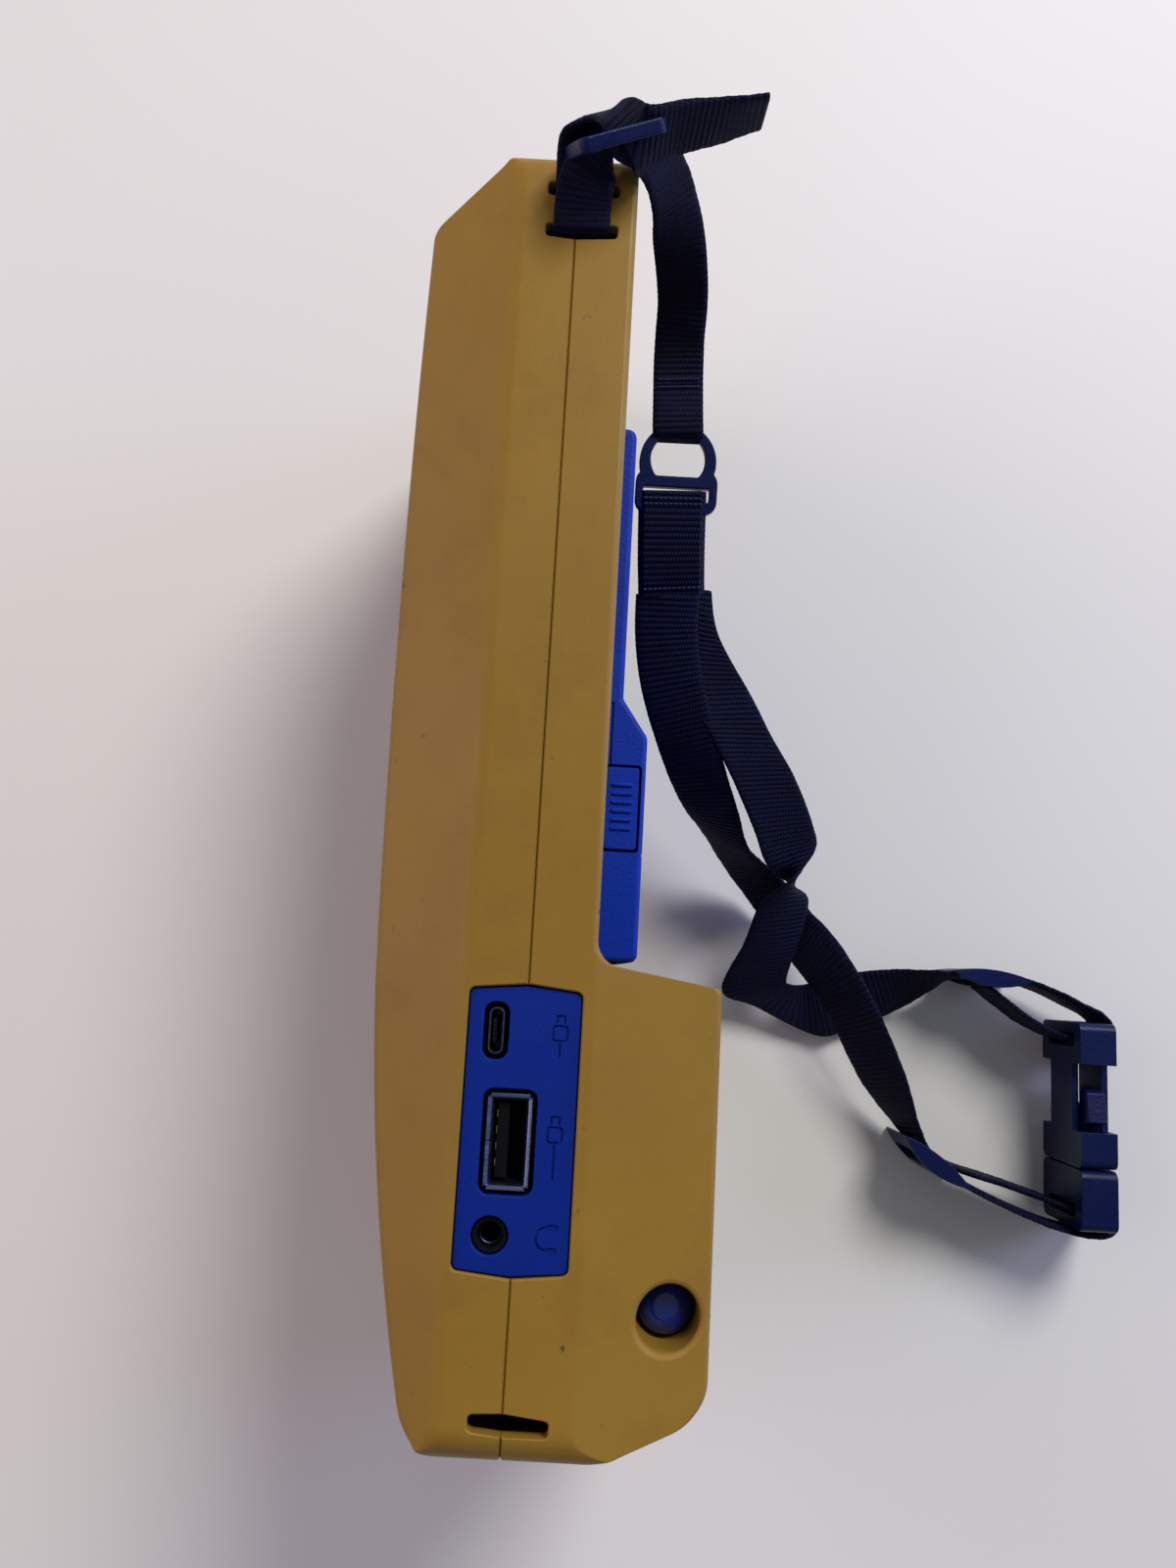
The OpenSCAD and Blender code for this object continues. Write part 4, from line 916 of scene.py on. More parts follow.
def pierce_back(shell):
    """Openings of the back shell, and the walls round its bays."""
    outline = rounded_box(STEP_Y - WALL, PACK_LOW.z - 1.5, PACK_HIGH.y + 1.5, PACK_HIGH.z + 1.5, 2)
    floor = prism("bay_floor", [outline], PACK_LOW.x - 1.95, FLAT_X - 0.8, axis="x")
    cup = prism("plug_cup", [circle(PLUG_X, PLUG_Y, RECESS_R + 1.8, 40)], PLUG_LOW.z - 1.5, SEAT_Z + 7)
    bosses = join([prism("boss", [circle(SCREWS[2][0], Z_MID + side * SCREWS[2][1], 4.4, 28)],
                         PART_X + 0.5, X_BACK - 1.2, axis="x") for side in (-1, 1)], "bosses")
    combine(shell, [floor, cup, bosses], "UNION")
    outline = rounded_box(STEP_Y + 0.02, PACK_LOW.z - BAY_GAP, PACK_HIGH.y + BAY_GAP,
                          PACK_HIGH.z + BAY_GAP, 1.2)
    bay = prism("bay", [outline], PACK_LOW.x - FIT, X_BACK + 6, axis="x")

    def facet_z(x):
        return CASE_WIDTH - (x - FLAT_X) * BULGE_TAN

    recess = [[(x, y, SEAT_Z) for x, y in circle(PLUG_X, PLUG_Y, RECESS_R, 64)]]
    for radius, rise in ((0, -1.1), (0.1, -0.6), (0.35, -0.25), (0.8, -0.04), (1.1, 0.02), (1.1, 7)):
        ring = circle(PLUG_X, PLUG_Y, RECESS_R + radius, 64)
        recess.append([(x, y, facet_z(x) + rise) for x, y in ring])
    recess = loft("plug_recess", recess)
    stem = prism("stem", [circle(PLUG_X, PLUG_Y, PLUG_R + 0.1, 40)], PLUG_LOW.z - 0.4, SEAT_Z + 1)
    heads = join([prism("head", [circle(y, Z_MID + side * apart, 3.1, 28)], seat, X_BACK + 5, axis="x")
                  for y, apart, seat in SCREWS for side in (-1, 1)], "heads")
    contact_y = STEP_Y + 8
    window = prism("contact_window", [rounded_box(contact_y, Z_MID - 10, contact_y + 6, Z_MID + 10, 0.4)],
                   PART_X, PACK_LOW.x + 1, axis="x")
    combine(shell, [bay, recess, stem, heads, window, port_cutter(), strap_cutters()], "DIFFERENCE")


class COLLECTOR_OT_case(bpy.types.Operator):
    """Build the two shells of the case"""

    bl_idname = "collector.case"
    bl_label = "Case shells"

    def execute(self, context):
        case = context.scene.collector_case
        front = half_shell("front_shell_skin", -1, case)
        pierce_front(front)
        finish_piece(front, "front_shell_skin", "case", "shell", ["front_shell"], 26)
        back = half_shell("back_shell_skin", 1, case)
        pierce_back(back)
        finish_piece(back, "back_shell_skin", "case", "shell", ["back_shell"], 26)
        dress_node("case_gasket", "seal")
        return {"FINISHED"}


# ---------------------------------------------------------------- softened copies of plain parts


SOFT_EDGE_ANGLE = 25  # degrees between two faces from which their edge is rounded
MERGE_DISTANCE = 0.002


def softened(node, width, segments=3):
    """A copy of a CAD node's shape, in millimetres, with its edges rounded."""
    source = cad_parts[node]
    bm = bmesh.new()
    bm.from_mesh(source.data)
    bmesh.ops.transform(bm, matrix=source.matrix_world, verts=bm.verts)
    bmesh.ops.scale(bm, vec=(1 / MM,) * 3, verts=bm.verts)
    bmesh.ops.remove_doubles(bm, verts=bm.verts, dist=MERGE_DISTANCE)
    bmesh.ops.dissolve_limit(bm, angle_limit=math.radians(1), verts=bm.verts, edges=bm.edges)
    bmesh.ops.recalc_face_normals(bm, faces=bm.faces)
    return round_edges(placed_bmesh(node + "_soft", bm, node), width, segments, SOFT_EDGE_ANGLE)


def revolve(name, profile, x, y, count=64):
    """A turned piece about an upright axis; the profile holds (radius, z) from bottom to top."""
    rings = [[(x + max(r, 0.02) * math.cos(2 * math.pi * k / count),
               y + max(r, 0.02) * math.sin(2 * math.pi * k / count), z) for k in range(count)]
             for r, z in profile]
    return loft(name, rings)


def tube(name, profile, outline_at):
    """A closed skin whose rings come from outline_at(grow), at (grow, z) along the profile."""
    rings = [[(p[0], p[1], z) for p in outline_at(grow)] for grow, z in profile]
    return loft(name, rings)


def scatter(name, template, places, finish):
    """Copies of a template at places, each (position, turn), made with geometry nodes."""
    mesh = bpy.data.meshes.new(name)
    mesh.from_pydata([p for p, turn in places], [], [])
    turns = mesh.attributes.new("turn", "FLOAT_VECTOR", "POINT")
    turns.data.foreach_set("vector", [c for p, turn in places for c in turn])
    obj = placed(name, mesh)
    group = bpy.data.node_groups.new(name + "_copies", "GeometryNodeTree")
    face = group.interface
    face.new_socket("Places", in_out="INPUT", socket_type="NodeSocketGeometry")
    piece = face.new_socket("Piece", in_out="INPUT", socket_type="NodeSocketObject")
    coat = face.new_socket("Finish", in_out="INPUT", socket_type="NodeSocketMaterial")
    face.new_socket("Copies", in_out="OUTPUT", socket_type="NodeSocketGeometry")
    nodes = {key: group.nodes.new(kind) for key, kind in (
        ("start", "NodeGroupInput"), ("end", "NodeGroupOutput"), ("info", "GeometryNodeObjectInfo"),
        ("named", "GeometryNodeInputNamedAttribute"), ("to_turn", "FunctionNodeEulerToRotation"),
        ("copies", "GeometryNodeInstanceOnPoints"), ("real", "GeometryNodeRealizeInstances"),
        ("paint", "GeometryNodeSetMaterial"))}
    nodes["named"].data_type = "FLOAT_VECTOR"
    nodes["named"].inputs["Name"].default_value = "turn"
    for source, output, target, label in (
            ("start", "Places", "copies", "Points"), ("start", "Piece", "info", "Object"),
            ("info", "Geometry", "copies", "Instance"), ("named", "Attribute", "to_turn", "Euler"),
            ("to_turn", "Rotation", "copies", "Rotation"), ("copies", "Instances", "real", "Geometry"),
            ("real", "Geometry", "paint", "Geometry"), ("start", "Finish", "paint", "Material"),
            ("paint", "Geometry", "end", "Copies")):
        group.links.new(nodes[source].outputs[output], nodes[target].inputs[label])
    modifier = obj.modifiers.new("Copies", "NODES")
    modifier.node_group = group
    modifier[piece.identifier] = template
    modifier[coat.identifier] = MATERIALS[finish]
    settle(obj)
    bpy.data.objects.remove(template)
    return obj


# ---------------------------------------------------------------- display and keys

KEY_ICONS = {
    "key_menu": [("bar", 0, 1.5, 4.4, 0.55), ("bar", 0, 0, 4.4, 0.55), ("bar", 0, -1.5, 4.4, 0.55)],
    "key_home": [("roof", 0, 0.9, 2.3, 1.6), ("bar", 0, -0.9, 2.9, 1.9)],
    "key_back": [("roof_left", -1.2, 0, 1.7, 1.7), ("bar", 0.9, 0, 3.0, 0.6)],
    "key_up": [("roof", 0, 0, 1.9, 1.7)],
    "key_down": [("roof", 0, 0, 1.9, -1.7)],
    "key_left": [("roof_left", 0, 0, 1.9, 1.7)],
    "key_right": [("roof_left", 0, 0, 1.9, -1.7)],
    "key_select": [("ring", 0, 0, 2.2, 0.5)],
    "key_shift": [("roof", 0, 0.8, 2.2, 1.5), ("bar", 0, -1.1, 1.5, 2.2)],
    "key_power": [("ring", 0, -0.2, 1.9, 0.5), ("bar", 0, 1.5, 0.6, 2.2)],
    "key_enter": [("roof_left", -1.6, -0.5, 1.2, 1.4), ("bar", 0.6, -0.5, 3.4, 0.55),
                  ("bar", 2.2, 0.6, 0.55, 1.9)],
}


def icon(kind, across, up, a, b, y, z, x0, x1):
    """One shape of a key's print; across runs to the user's right, up runs up the case."""
    zc, yc = z + across, y + up
    if kind == "bar":
        outline = box_outline(yc - b / 2, zc - a / 2, yc + b / 2, zc + a / 2)
    elif kind == "roof":
        outline = [(yc - b * 0.6, zc - a), (yc - b * 0.6, zc + a), (yc + b, zc)]
    elif kind == "roof_left":
        outline = [(yc - a, zc + b * 0.6), (yc + a, zc + b * 0.6), (yc, zc - b)]
    else:
        return prism("icon", [circle(yc, zc, a, 32), circle(yc, zc, a - b, 32)], x0, x1, axis="x")
    return prism("icon", [outline], x0, x1, axis="x")


class COLLECTOR_OT_keys(bpy.types.Operator):
    """Build the keys, each with a crowned top and a printed sign"""

    bl_idname = "collector.keys"
    bl_label = "Keys"

    def execute(self, context):
        for name in KEY_NAMES:
            low, high = cad_box(name)
            y, z = (low.y + high.y) / 2, (low.z + high.z) / 2
            skirt, top = high.x - 0.1, low.x
            wide, body = key_outline(name, 0.85), key_outline(name, 0.0)
            seat = face_x(y) + 1.6

            def ring(points, scale, x):
                return [(x, y + (p[0] - y) * scale, z + (p[1] - z) * scale) for p in points]

            rings = [ring(wide, 1, skirt), ring(wide, 1, max(seat + 0.4, skirt - 1.2)), ring(body, 1, seat)]
            rings += [ring(body, 1, top + 0.75), ring(body, 0.985, top + 0.5), ring(body, 0.95, top + 0.3)]
            rings += [ring(body, s, top + 0.3 * (s / 0.95) ** 2 * 0.8) for s in (0.9, 0.75, 0.5, 0.25, 0.03)]
            material = "key_red" if name == "key_power" else "key"
            finish_piece(loft(name + "_cap", rings), name + "_cap", name, material, [name], 40)
            shapes = [icon(*shape, y, z, top - 0.02, top + 0.2) for shape in KEY_ICONS[name]]
            prints = join(shapes, name + "_print")
            finish_piece(prints, name + "_print", name, "legend")
        dress_node("keypad_membrane", "membrane")
        return {"FINISHED"}


class COLLECTOR_OT_display(bpy.types.Operator):
    """Build the window, its printed border, the screen and the keypad's fascia"""

    bl_idname = "collector.display"
    bl_label = "Display"

    def execute(self, context):
        low, high = WINDOW
        pane = prism("window_pane", [face_box(low, high, 0, 2.4)], low.x, high.x, axis="x", bevel=0.25)
        finish_piece(pane, "window_pane", "case", "glass", ["display_window"])
        border = 4.6
        outlines = [face_box(low, high, -0.2, 2.2), face_box(low, high, -border, 1.2)]
        mask = prism("window_border", outlines, high.x + 0.02, high.x + 0.12, axis="x")
        finish_piece(mask, "window_border", "case", "mask")
        lcd_low, lcd_high = cad_box("lcd_module")
        panel = prism("screen_panel", [face_box(lcd_low, lcd_high, -2, 0.4)],
                      lcd_low.x - 0.35, lcd_low.x - 0.05, axis="x", bevel=0.08)
        finish_piece(panel, "screen_panel", "case", "screen")
        z0, z1 = FASCIA_LOW.z, FASCIA_HIGH.z
        rings = [[(face_x(y) + 0.12, y, z0), (face_x(y) + 0.12, y, z1), (face_x(y) + 0.98, y, z1),
                  (face_x(y) + 0.98, y, z0)] for y in np.linspace(FASCIA_LOW.y, FASCIA_HIGH.y, 60)]
        plate = loft("keypad_fascia", rings)
        combine(plate, [key_cutters(0.25)], "DIFFERENCE")
        round_edges(plate, 0.18, 2, 50)
        finish_piece(plate, "keypad_fascia", "case", "fascia", ["fascia"], 30)
        for node, material in (("window_gasket", "seal"), ("lcd_module", "can"), ("keypad_board", "board"),
                               ("main_board", "board"), ("board_screws", "steel"), ("speaker", "black"),
                               ("radio_module", "can"), ("port_board", "board")):
            dress_node(node, material)
        return {"FINISHED"}


# ---------------------------------------------------------------- ports


def plug_mark(x, y, length, depth_box):
    """A plain sign for a data socket: a plug's tip and body with a length of lead."""
    low, high = depth_box
    top = y + length / 2
    tip = [box_outline(x - 0.75, top - 1.3, x + 0.75, top),
           box_outline(x - 0.45, top - 1.3, x + 0.45, top - 0.3)]
    body = [rounded_box(x - 1.25, top - 4.1, x + 1.25, top - 1.55, 0.5, 4),
            rounded_box(x - 0.95, top - 3.8, x + 0.95, top - 1.85, 0.3, 4)]
    lead = [box_outline(x - 0.17, y - length / 2, x + 0.17, top - 4.3)]
    return [prism("mark", outline, low, high) for outline in (tip, body, lead)]


def headphone_mark(x, y, depth_box):
    """A plain sign for headphones: a band with a pad at each end."""
    low, high = depth_box
    turns = np.linspace(math.pi / 2, 3 * math.pi / 2, 20)
    band = [(x - 0.4 + 2.0 * math.cos(a), y + 1.9 * math.sin(a)) for a in turns]
    band += [(x - 0.4 + 1.6 * math.cos(a), y + 1.5 * math.sin(a)) for a in turns[::-1]]
    pads = [rounded_box(x - 0.5, y + pad, x + 1.1, y + pad + 0.9, 0.35, 4) for pad in (1.25, -2.15)]
    return [prism("mark", [outline], low, high) for outline in (band, *pads)]


JACK_END = 78.0  # z of the jack body's inner end
JACK_CONTACT = (84.0, 90.4)  # z from which and to which the jack's contact ring runs


class COLLECTOR_OT_ports(bpy.types.Operator):
    """Build the port panel with its three sockets"""

    bl_idname = "collector.ports"
    bl_label = "Ports"

    def execute(self, context):
        usb_low, usb_high = cad_box("usb_a_shell")
        micro_low, micro_high = cad_box("micro_usb_shell")
        jack_low, jack_high = cad_box("audio_jack")
        top, back = PANEL_HIGH.z, PANEL_LOW.z
        jack = ((jack_low.x + jack_high.x) / 2, (jack_low.y + jack_high.y) / 2)
        outlines = [
            kinked(PANEL_LOW.x, PANEL_LOW.y, PANEL_HIGH.x, PANEL_HIGH.y, KINK - 0.1, 1.0),
            side_box(usb_low, usb_high, 0.7, 1.6),
            side_box(micro_low, micro_high, 0.75, 1.7),
            circle(jack[0], jack[1], 2.85, 48)]
        panel = prism("panel_plate", outlines, back, top, bevel=0.28)
        cut = (top - 0.32, top + 1)
        sign_x = PANEL_HIGH.x - 3.1
        marks = plug_mark(sign_x, (usb_low.y + usb_high.y) / 2 - 0.5, 9.5, cut)
        marks += plug_mark(sign_x, (micro_low.y + micro_high.y) / 2 - 0.3, 6.4, cut)
        marks += headphone_mark(sign_x + 0.2, jack[1], cut)
        combine(panel, [join(marks, "panel_marks")], "DIFFERENCE", own=True)
        finish_piece(panel, "panel_plate", "case", "panel", ["port_panel"])
        self.usb_socket(usb_low, usb_high, back)
        self.small_socket(micro_low, micro_high, back)
        profile = [(3.0, JACK_END), (3.0, back - 0.05), (2.75, back), (2.75, top - 0.9), (2.55, top - 0.72),
                   (2.15, top - 0.75), (1.95, top - 1.0), (1.82, top - 1.4), (1.8, JACK_END + 1.6)]
        sleeve = revolve("jack_sleeve", profile, *jack)
        finish_piece(sleeve, "jack_sleeve", "case", "black", ["audio_jack"], 45)
        low, high = JACK_CONTACT
        profile = [(1.79, low), (1.79, high), (1.66, high + 0.2), (1.55, high + 0.1), (1.55, low)]
        ring = revolve("jack_contact", profile, *jack)
        finish_piece(ring, "jack_contact", "case", "connector", (), 45)
        return {"FINISHED"}

    def usb_socket(self, low, high, back):
        def outline(grow):
            return side_box(low, high, grow, max(0.55 + grow * 0.3, 0.25), 5)

        z = high.z
        profile = [(-0.62, back - 9), (-0.62, z - 1.5), (-0.45, z - 0.9), (-0.08, z - 0.32), (0.0, z - 0.1),
                   (-0.1, z), (-0.5, z - 0.12), (-0.8, z - 0.5), (-0.95, z - 1.1), (-0.98, back - 8.6)]
        shell = tube("usb_socket_shell", profile, outline)
        cy = (low.y + high.y) / 2
        cuts = [prism("seam", [box_outline(low.x - 1, cy - 0.08, low.x + 1.3, cy + 0.08)], z - 3, z + 1)]
        for sx, x in ((-1, low.x), (1, high.x)):
            for sy, y in ((-1, low.y), (1, high.y)):
                corner = Vector((x - sx * 0.5, y - sy * 0.5))
                along, wide = Vector((sx, sy)).normalized(), Vector((-sy, sx)).normalized() * 0.3
                points = [corner - along * 0.2 - wide, corner + along * 2 - wide, corner + along * 2 + wide,
                          corner - along * 0.2 + wide]
                cuts.append(prism("mitre", [[tuple(p) for p in points]], z - 0.62, z + 1))
        combine(shell, [join(cuts, "usb_slits")], "DIFFERENCE")
        finish_piece(shell, "usb_socket_shell", "case", "connector",
                     ["usb_a_shell"], 40)
        # Painted shade: a black sheet covers the socket's metal walls below the mouth, so that the inside
        # reads dark.
        profile = [(-1.0, back - 8.5), (-1.0, z - 1.3), (-1.12, z - 1.25), (-1.16, back - 8.4)]
        shade_sheet = tube("usb_liner", profile, outline)
        finish_piece(shade_sheet, "usb_liner", "case", "black", (), 40)
        dress_node("usb_a_tongue", "black")
        t_low, t_high = cad_box("usb_a_tongue")
        pads = [prism("pad", [rounded_box(t_low.x - 0.12, t_low.y + 1.6 + k * 2.45, t_low.x + 0.05,
                                          t_low.y + 2.7 + k * 2.45, 0.03, 2)], back - 5, t_high.z - 0.6)
                for k in range(4)]
        finish_piece(join(pads, "usb_contacts"), "usb_contacts", "case", "gold")

    def small_socket(self, low, high, back):
        def outline(grow):
            return side_box(low, high, grow, (high.x - low.x) / 2 + grow - 0.02, 8)

        z = high.z
        profile = [(0, back - 9), (0, z - 0.12), (-0.1, z), (-0.28, z), (-0.36, z - 0.15),
                   (-0.38, back - 8.6)]
        finish_piece(tube("small_socket_shell", profile, outline), "small_socket_shell", "case",
                     "socket_skin", ["micro_usb_shell"], 40)
        dress_node("micro_usb_tongue", "black")
        t_low, t_high = cad_box("micro_usb_tongue")
        pads = [prism("pad", [box_outline(t_low.x - 0.06, t_low.y + 0.5 + k * 0.7, t_low.x + 0.04,
                                          t_low.y + 0.8 + k * 0.7)], back - 4, t_high.z - 0.3)
                for k in range(5)]
        finish_piece(join(pads, "small_contacts"), "small_contacts", "case", "gold")


# ---------------------------------------------------------------- battery, side plug and screws


PACK_DROP = 4.5  # how much lower the pack's thin end is than its thick end
PACK_THICK_LENGTH = 45
PACK_SKIN = 1.3
PAD_GAP = 0.12


class COLLECTOR_OT_battery(bpy.types.Operator):
    """Build the battery pack with its latch pads"""

    bl_idname = "collector.battery"
    bl_label = "Battery"

    def execute(self, context):
        low, high = cad_box("battery_cover")
        thick, thin = high.x, high.x - PACK_DROP
        step = low.y + PACK_THICK_LENGTH
        corners = [(SPLIT_X, low.y), (thick, low.y), (thick, step - 6.6), (thin, step), (thin, high.y),
                   (SPLIT_X, high.y)]
        radii = [0, 1.4, 2.2, 1.6, 2.6, 0]
        cover = prism("pack_cover", [rounded(corners, radii, 7)], low.z, high.z)
        round_edges(cover, 0.9, 4, 40)
        skin = PACK_SKIN
        inner = [(SPLIT_X - 1, low.y + skin), (thick - skin, low.y + skin), (thick - skin, step - 7.2),
                 (thin - skin, step - 0.6), (thin - skin, high.y - skin), (SPLIT_X - 1, high.y - skin)]
        hollow = prism("hollow", [inner], low.z + skin, high.z - skin)
        cuts = [prism("open", [box_outline(-10, -200, SPLIT_X, 200)], -10, 110)]
        pad_low, pad_high = cad_box("latch_port_side")
        for far in (False, True):
            slot = prism("slot", [side_box(pad_low, pad_high, 0.3, 0.7, 4)], high.z - 4, high.z + 1)
            groove = prism("groove", [box_outline(pad_low.x + 0.4, pad_high.y + 0.2, pad_low.x + 0.85, 11.6)],
                           high.z - 0.5, high.z + 1)
            cuts += [moved(c, FAR_SIDE) if far else c for c in (slot, groove)]
        band = prism("band", [box_outline(thick - 0.22, -14.8, thick + 1, -14.3)], low.z - 1, high.z + 1)
        combine(cover, [hollow] + cuts + [band], "DIFFERENCE")
        finish_piece(cover, "pack_cover", "battery_pack", "pack", ["battery_cover"], 30)
        for node, material in (("battery_tray", "tray"), ("battery_hook", "tray"), ("battery_cells", "cells"),
                               ("battery_terminals", "gold"), ("battery_contacts", "gold")):
            dress_node(node, material)
        for name in ("latch_port_side", "latch_far_side"):
            self.latch_pad(name)
        return {"FINISHED"}

    def latch_pad(self, name):
        low, high = cad_box("latch_port_side")
        x0, x1, y0 = low.x + PAD_GAP, high.x - PAD_GAP, low.y + PAD_GAP
        outline = side_box(low, high, -PAD_GAP, 0.6, 5)
        plate = prism(name + "_pad", [outline], low.z, high.z - 0.35, bevel=0.25)
        ribs = [prism("rib", [rounded_box(x0 + 1, y - 0.32, x1 - 1, y + 0.32, 0.3, 4)], high.z - 0.7, high.z,
                      bevel=0.16) for y in [y0 + 3.6 + k * 1.5 for k in range(6)]]
        combine(plate, [join(ribs, "ribs")], "UNION")
        if name == "latch_far_side":
            moved(plate, FAR_SIDE)
        finish_piece(plate, name + "_pad", name, "pack", [name])


class COLLECTOR_OT_plug(bpy.types.Operator):
    """Build the domed side plug, its ring and the case screws"""

    bl_idname = "collector.plug"
    bl_label = "Plug and screws"

    def execute(self, context):
        stem_r = PLUG_R - 0.05
        dome_top, collar_z = PLUG_HIGH.z, SEAT_Z + 2.4
        dome = [(1.2, PLUG_LOW.z), (stem_r * 0.7, PLUG_LOW.z), (stem_r * 0.7, SEAT_Z + 0.1),
                (stem_r, SEAT_Z + 0.1), (stem_r, collar_z - 0.7)]
        rise = dome_top - collar_z + 0.6
        for k in range(14):
            a = math.pi / 2 * k / 13
            dome.append((stem_r * math.cos(a), collar_z - 0.6 + rise * math.sin(a)))
        finish_piece(revolve("plug_dome", dome, PLUG_X, PLUG_Y, 80), "plug_dome", "case", "plug",
                     ["side_plug"], 40)
        dress_node("plug_ring", "seal")
        head = prism("screw_head", [circle(0, 0, 2.7, 32)], -1.6, 0.25, bevel=0.35)
        radii = [1.35 if k % 4 in (0, 1) else 0.95 for k in range(24)]
        star = [(r * math.cos(k * math.pi / 12), r * math.sin(k * math.pi / 12)) for k, r in enumerate(radii)]
        combine(head, [prism("drive", [star], -0.9, 1)], "DIFFERENCE")
        shank = prism("shank", [circle(0, 0, 1.15, 20)], -9, -1.5)
        screw = join([head, shank], "screw_template")
        places = []
        for y, apart, seat in SCREWS:
            for k, side in enumerate((-1, 1)):
                turn = Matrix.Rotation(math.pi / 2, 3, "Y") @ Matrix.Rotation(0.4 * k + y * 0.1, 3, "Z")
                places.append(((seat + 1.6, y, Z_MID + side * apart), tuple(turn.to_euler())))
        screws = scatter("screw_set", screw, places, "steel")
        finish_piece(screws, "screw_set", "case", "steel", ["case_screws"], 35)
        return {"FINISHED"}


# ---------------------------------------------------------------- webbing

# Middle line of each webbing, then the direction of its width there
TETHER = [
    (29.2, 111.6, 100, 0, -0.12, 1), (22.4, 109.4, 100, 0, 0.1, 1), (14.6, 106.4, 101.4, 0.05, 0.35, 1),
    (8, 103, 103.4, 0.5, 0.6, 0.4), (3.4, 105.4, 105.2, 0.8, 0.55, -0.25),
    (-0.6, 105.2, 101.4, 0.8, 0.5, -0.2), (-0.9, 101, 97.2, 1, 0.2, 0), (-0.9, 99.5, 94.2, 1, 0, 0),
    (-0.9, 99.2, 91.2, 1, 0, 0), (-0.9, 97.2, 89.8, 1, 0, 0), (-0.9, 93.6, 89.8, 1, 0, 0),
    (-0.9, 91.7, 91.4, 1, 0, 0), (-0.9, 92, 94.8, 1, 0, 0), (-0.9, 95.8, 95.5, 1, 0, 0),
    (0, 99.6, 97.6, 1, 0.2, 0), (3.6, 102.4, 99.8, 0.8, 0.5, -0.2), (9.8, 105.4, 97.4, 0.4, 0.8, 0.1),
    (14.2, 104, 89.6, 0.2, 0.7, 0.6), (16.8, 99.8, 80, 0.4, 0.5, 0.7), (18.4, 94, 71.8, 0.8, 0.2, 0.5),
    (18.5, 88, 66.8, 1, 0, 0.3), (18.7, 82, 64.4, 1, 0, 0.1), (19, 77, 63.3, 1, 0, 0),
    (19.2, 73.6, 62.8, 1, 0, 0), (19.4, 71.3, 62.2, 1, 0, 0), (19.5, 70.3, 60.6, 1, 0, 0),
    (19.5, 71, 58.9, 1, 0, 0), (19.3, 73.6, 58.5, 1, 0, 0), (19, 78, 61.4, 1, 0, 0), (18.8, 82, 63, 1, 0, 0)]
# The upper band's two edges, which swap sides where it twists and fold where it turns
UPPER_EDGES = [
    ((15.8, 45.5, 46.6), (28.6, 44, 47)), ((18.6, 36.6, 45.6), (30.6, 34.9, 46)),
    ((25.9, 21.7, 43), (38.4, 23.3, 42)),
    ((30.2, 15.1, 41), (43.2, 15.9, 39)), ((35.6, 6.9, 37), (48.8, 8.5, 35)),
    ((41.2, -2.5, 31), (53.9, 0, 29)),
    ((45.4, -9.9, 25.5), (55.9, -5.4, 23.6)), ((51.9, -12.7, 16.5), (50.6, -12.5, 27.5)),
    ((55.9, -15.8, 16.6), (44.7, -17.8, 22.5)), ((55, -24, 13.5), (42.2, -26.3, 16)),
    ((52.9, -33.4, 9.5), (38.6, -37, 7.6)), ((54.4, -35, 7.9), (46.4, -40.2, 5.4)),
    ((58.3, -34.6, 6.5), (61.1, -46.1, 3)),
    ((64.1, -32.5, 6.5), (69.1, -44.3, 2.6)), ((75.1, -30.5, 10), (79.9, -39.3, 2.6)),
    ((84.5, -30.2, 13.5), (87.6, -34.3, 2.8)), ((92, -30.6, 15.75), (92, -30.6, 3.05)),
    ((100, -30, 15.95), (100, -30, 3.25)), ((110, -32.6, 16.55), (110, -32.6, 3.85)),
    ((117, -35.6, 16.95), (117, -35.6, 4.25)), ((121.8, -37.9, 17.05), (121.8, -37.9, 4.35)),
    ((123.7, -40.6, 17.05), (123.7, -40.6, 4.35)), ((122.2, -43.3, 17.05), (122.2, -43.3, 4.35)),
    ((118.6, -43.4, 17.05), (118.6, -43.4, 4.35)), ((113.6, -43, 17.05), (113.6, -43, 4.35)),
    ((107, -40.2, 16.55), (107, -40.2, 3.85)), ((101, -36, 15.95), (101, -36, 3.25)),
    ((97, -33, 15.75), (97, -33, 3.05))]
LOWER = [
    (19.4, 41.5, 50.8, 1, 0, 0.1), (19.8, 33.6, 47.4, 1, 0, 0.1), (21.8, 24, 43.4, 1, 0.1, 0.2),
    (26.6, 11.8, 37, 0.8, 0.3, 0.5), (31.4, 3, 29, 0.5, 0.3, 0.8), (37.4, -4.6, 18, 0.4, 0, 1),
    (46.6, -12.6, 8.6, 0.5, 0.25, 0.8), (55.4, -22.6, 7.4, 0.6, 0.3, 0.75), (62.2, -32, 13, 0.6, 0.35, 0.75),
    (67.6, -41, 13.4, 0.6, 0.35, 0.75), (74.6, -54, 10.8, 0.5, 0.3, 0.8), (80, -63.4, 9.4, 0.2, 0.1, 1),
    (84.6, -69.4, 9.4, 0, 0, 1), (91, -72.6, 9.6, 0, 0, 1), (101, -75.2, 10.2, 0, 0, 1),
    (110, -77.8, 10.6, 0, 0, 1), (114.6, -79.2, 10.7, 0, 0, 1), (118.6, -79.4, 10.7, 0, 0, 1),
    (122.4, -79.6, 10.7, 0, 0, 1), (124, -82.2, 10.7, 0, 0, 1), (122, -84.4, 10.7, 0, 0, 1),
    (117.6, -84.6, 10.6, 0, 0, 1), (110, -83, 10.4, 0, 0, 1), (100, -79.4, 10, 0, 0, 1),
    (90.4, -75.2, 9.6, 0, 0, 1)]
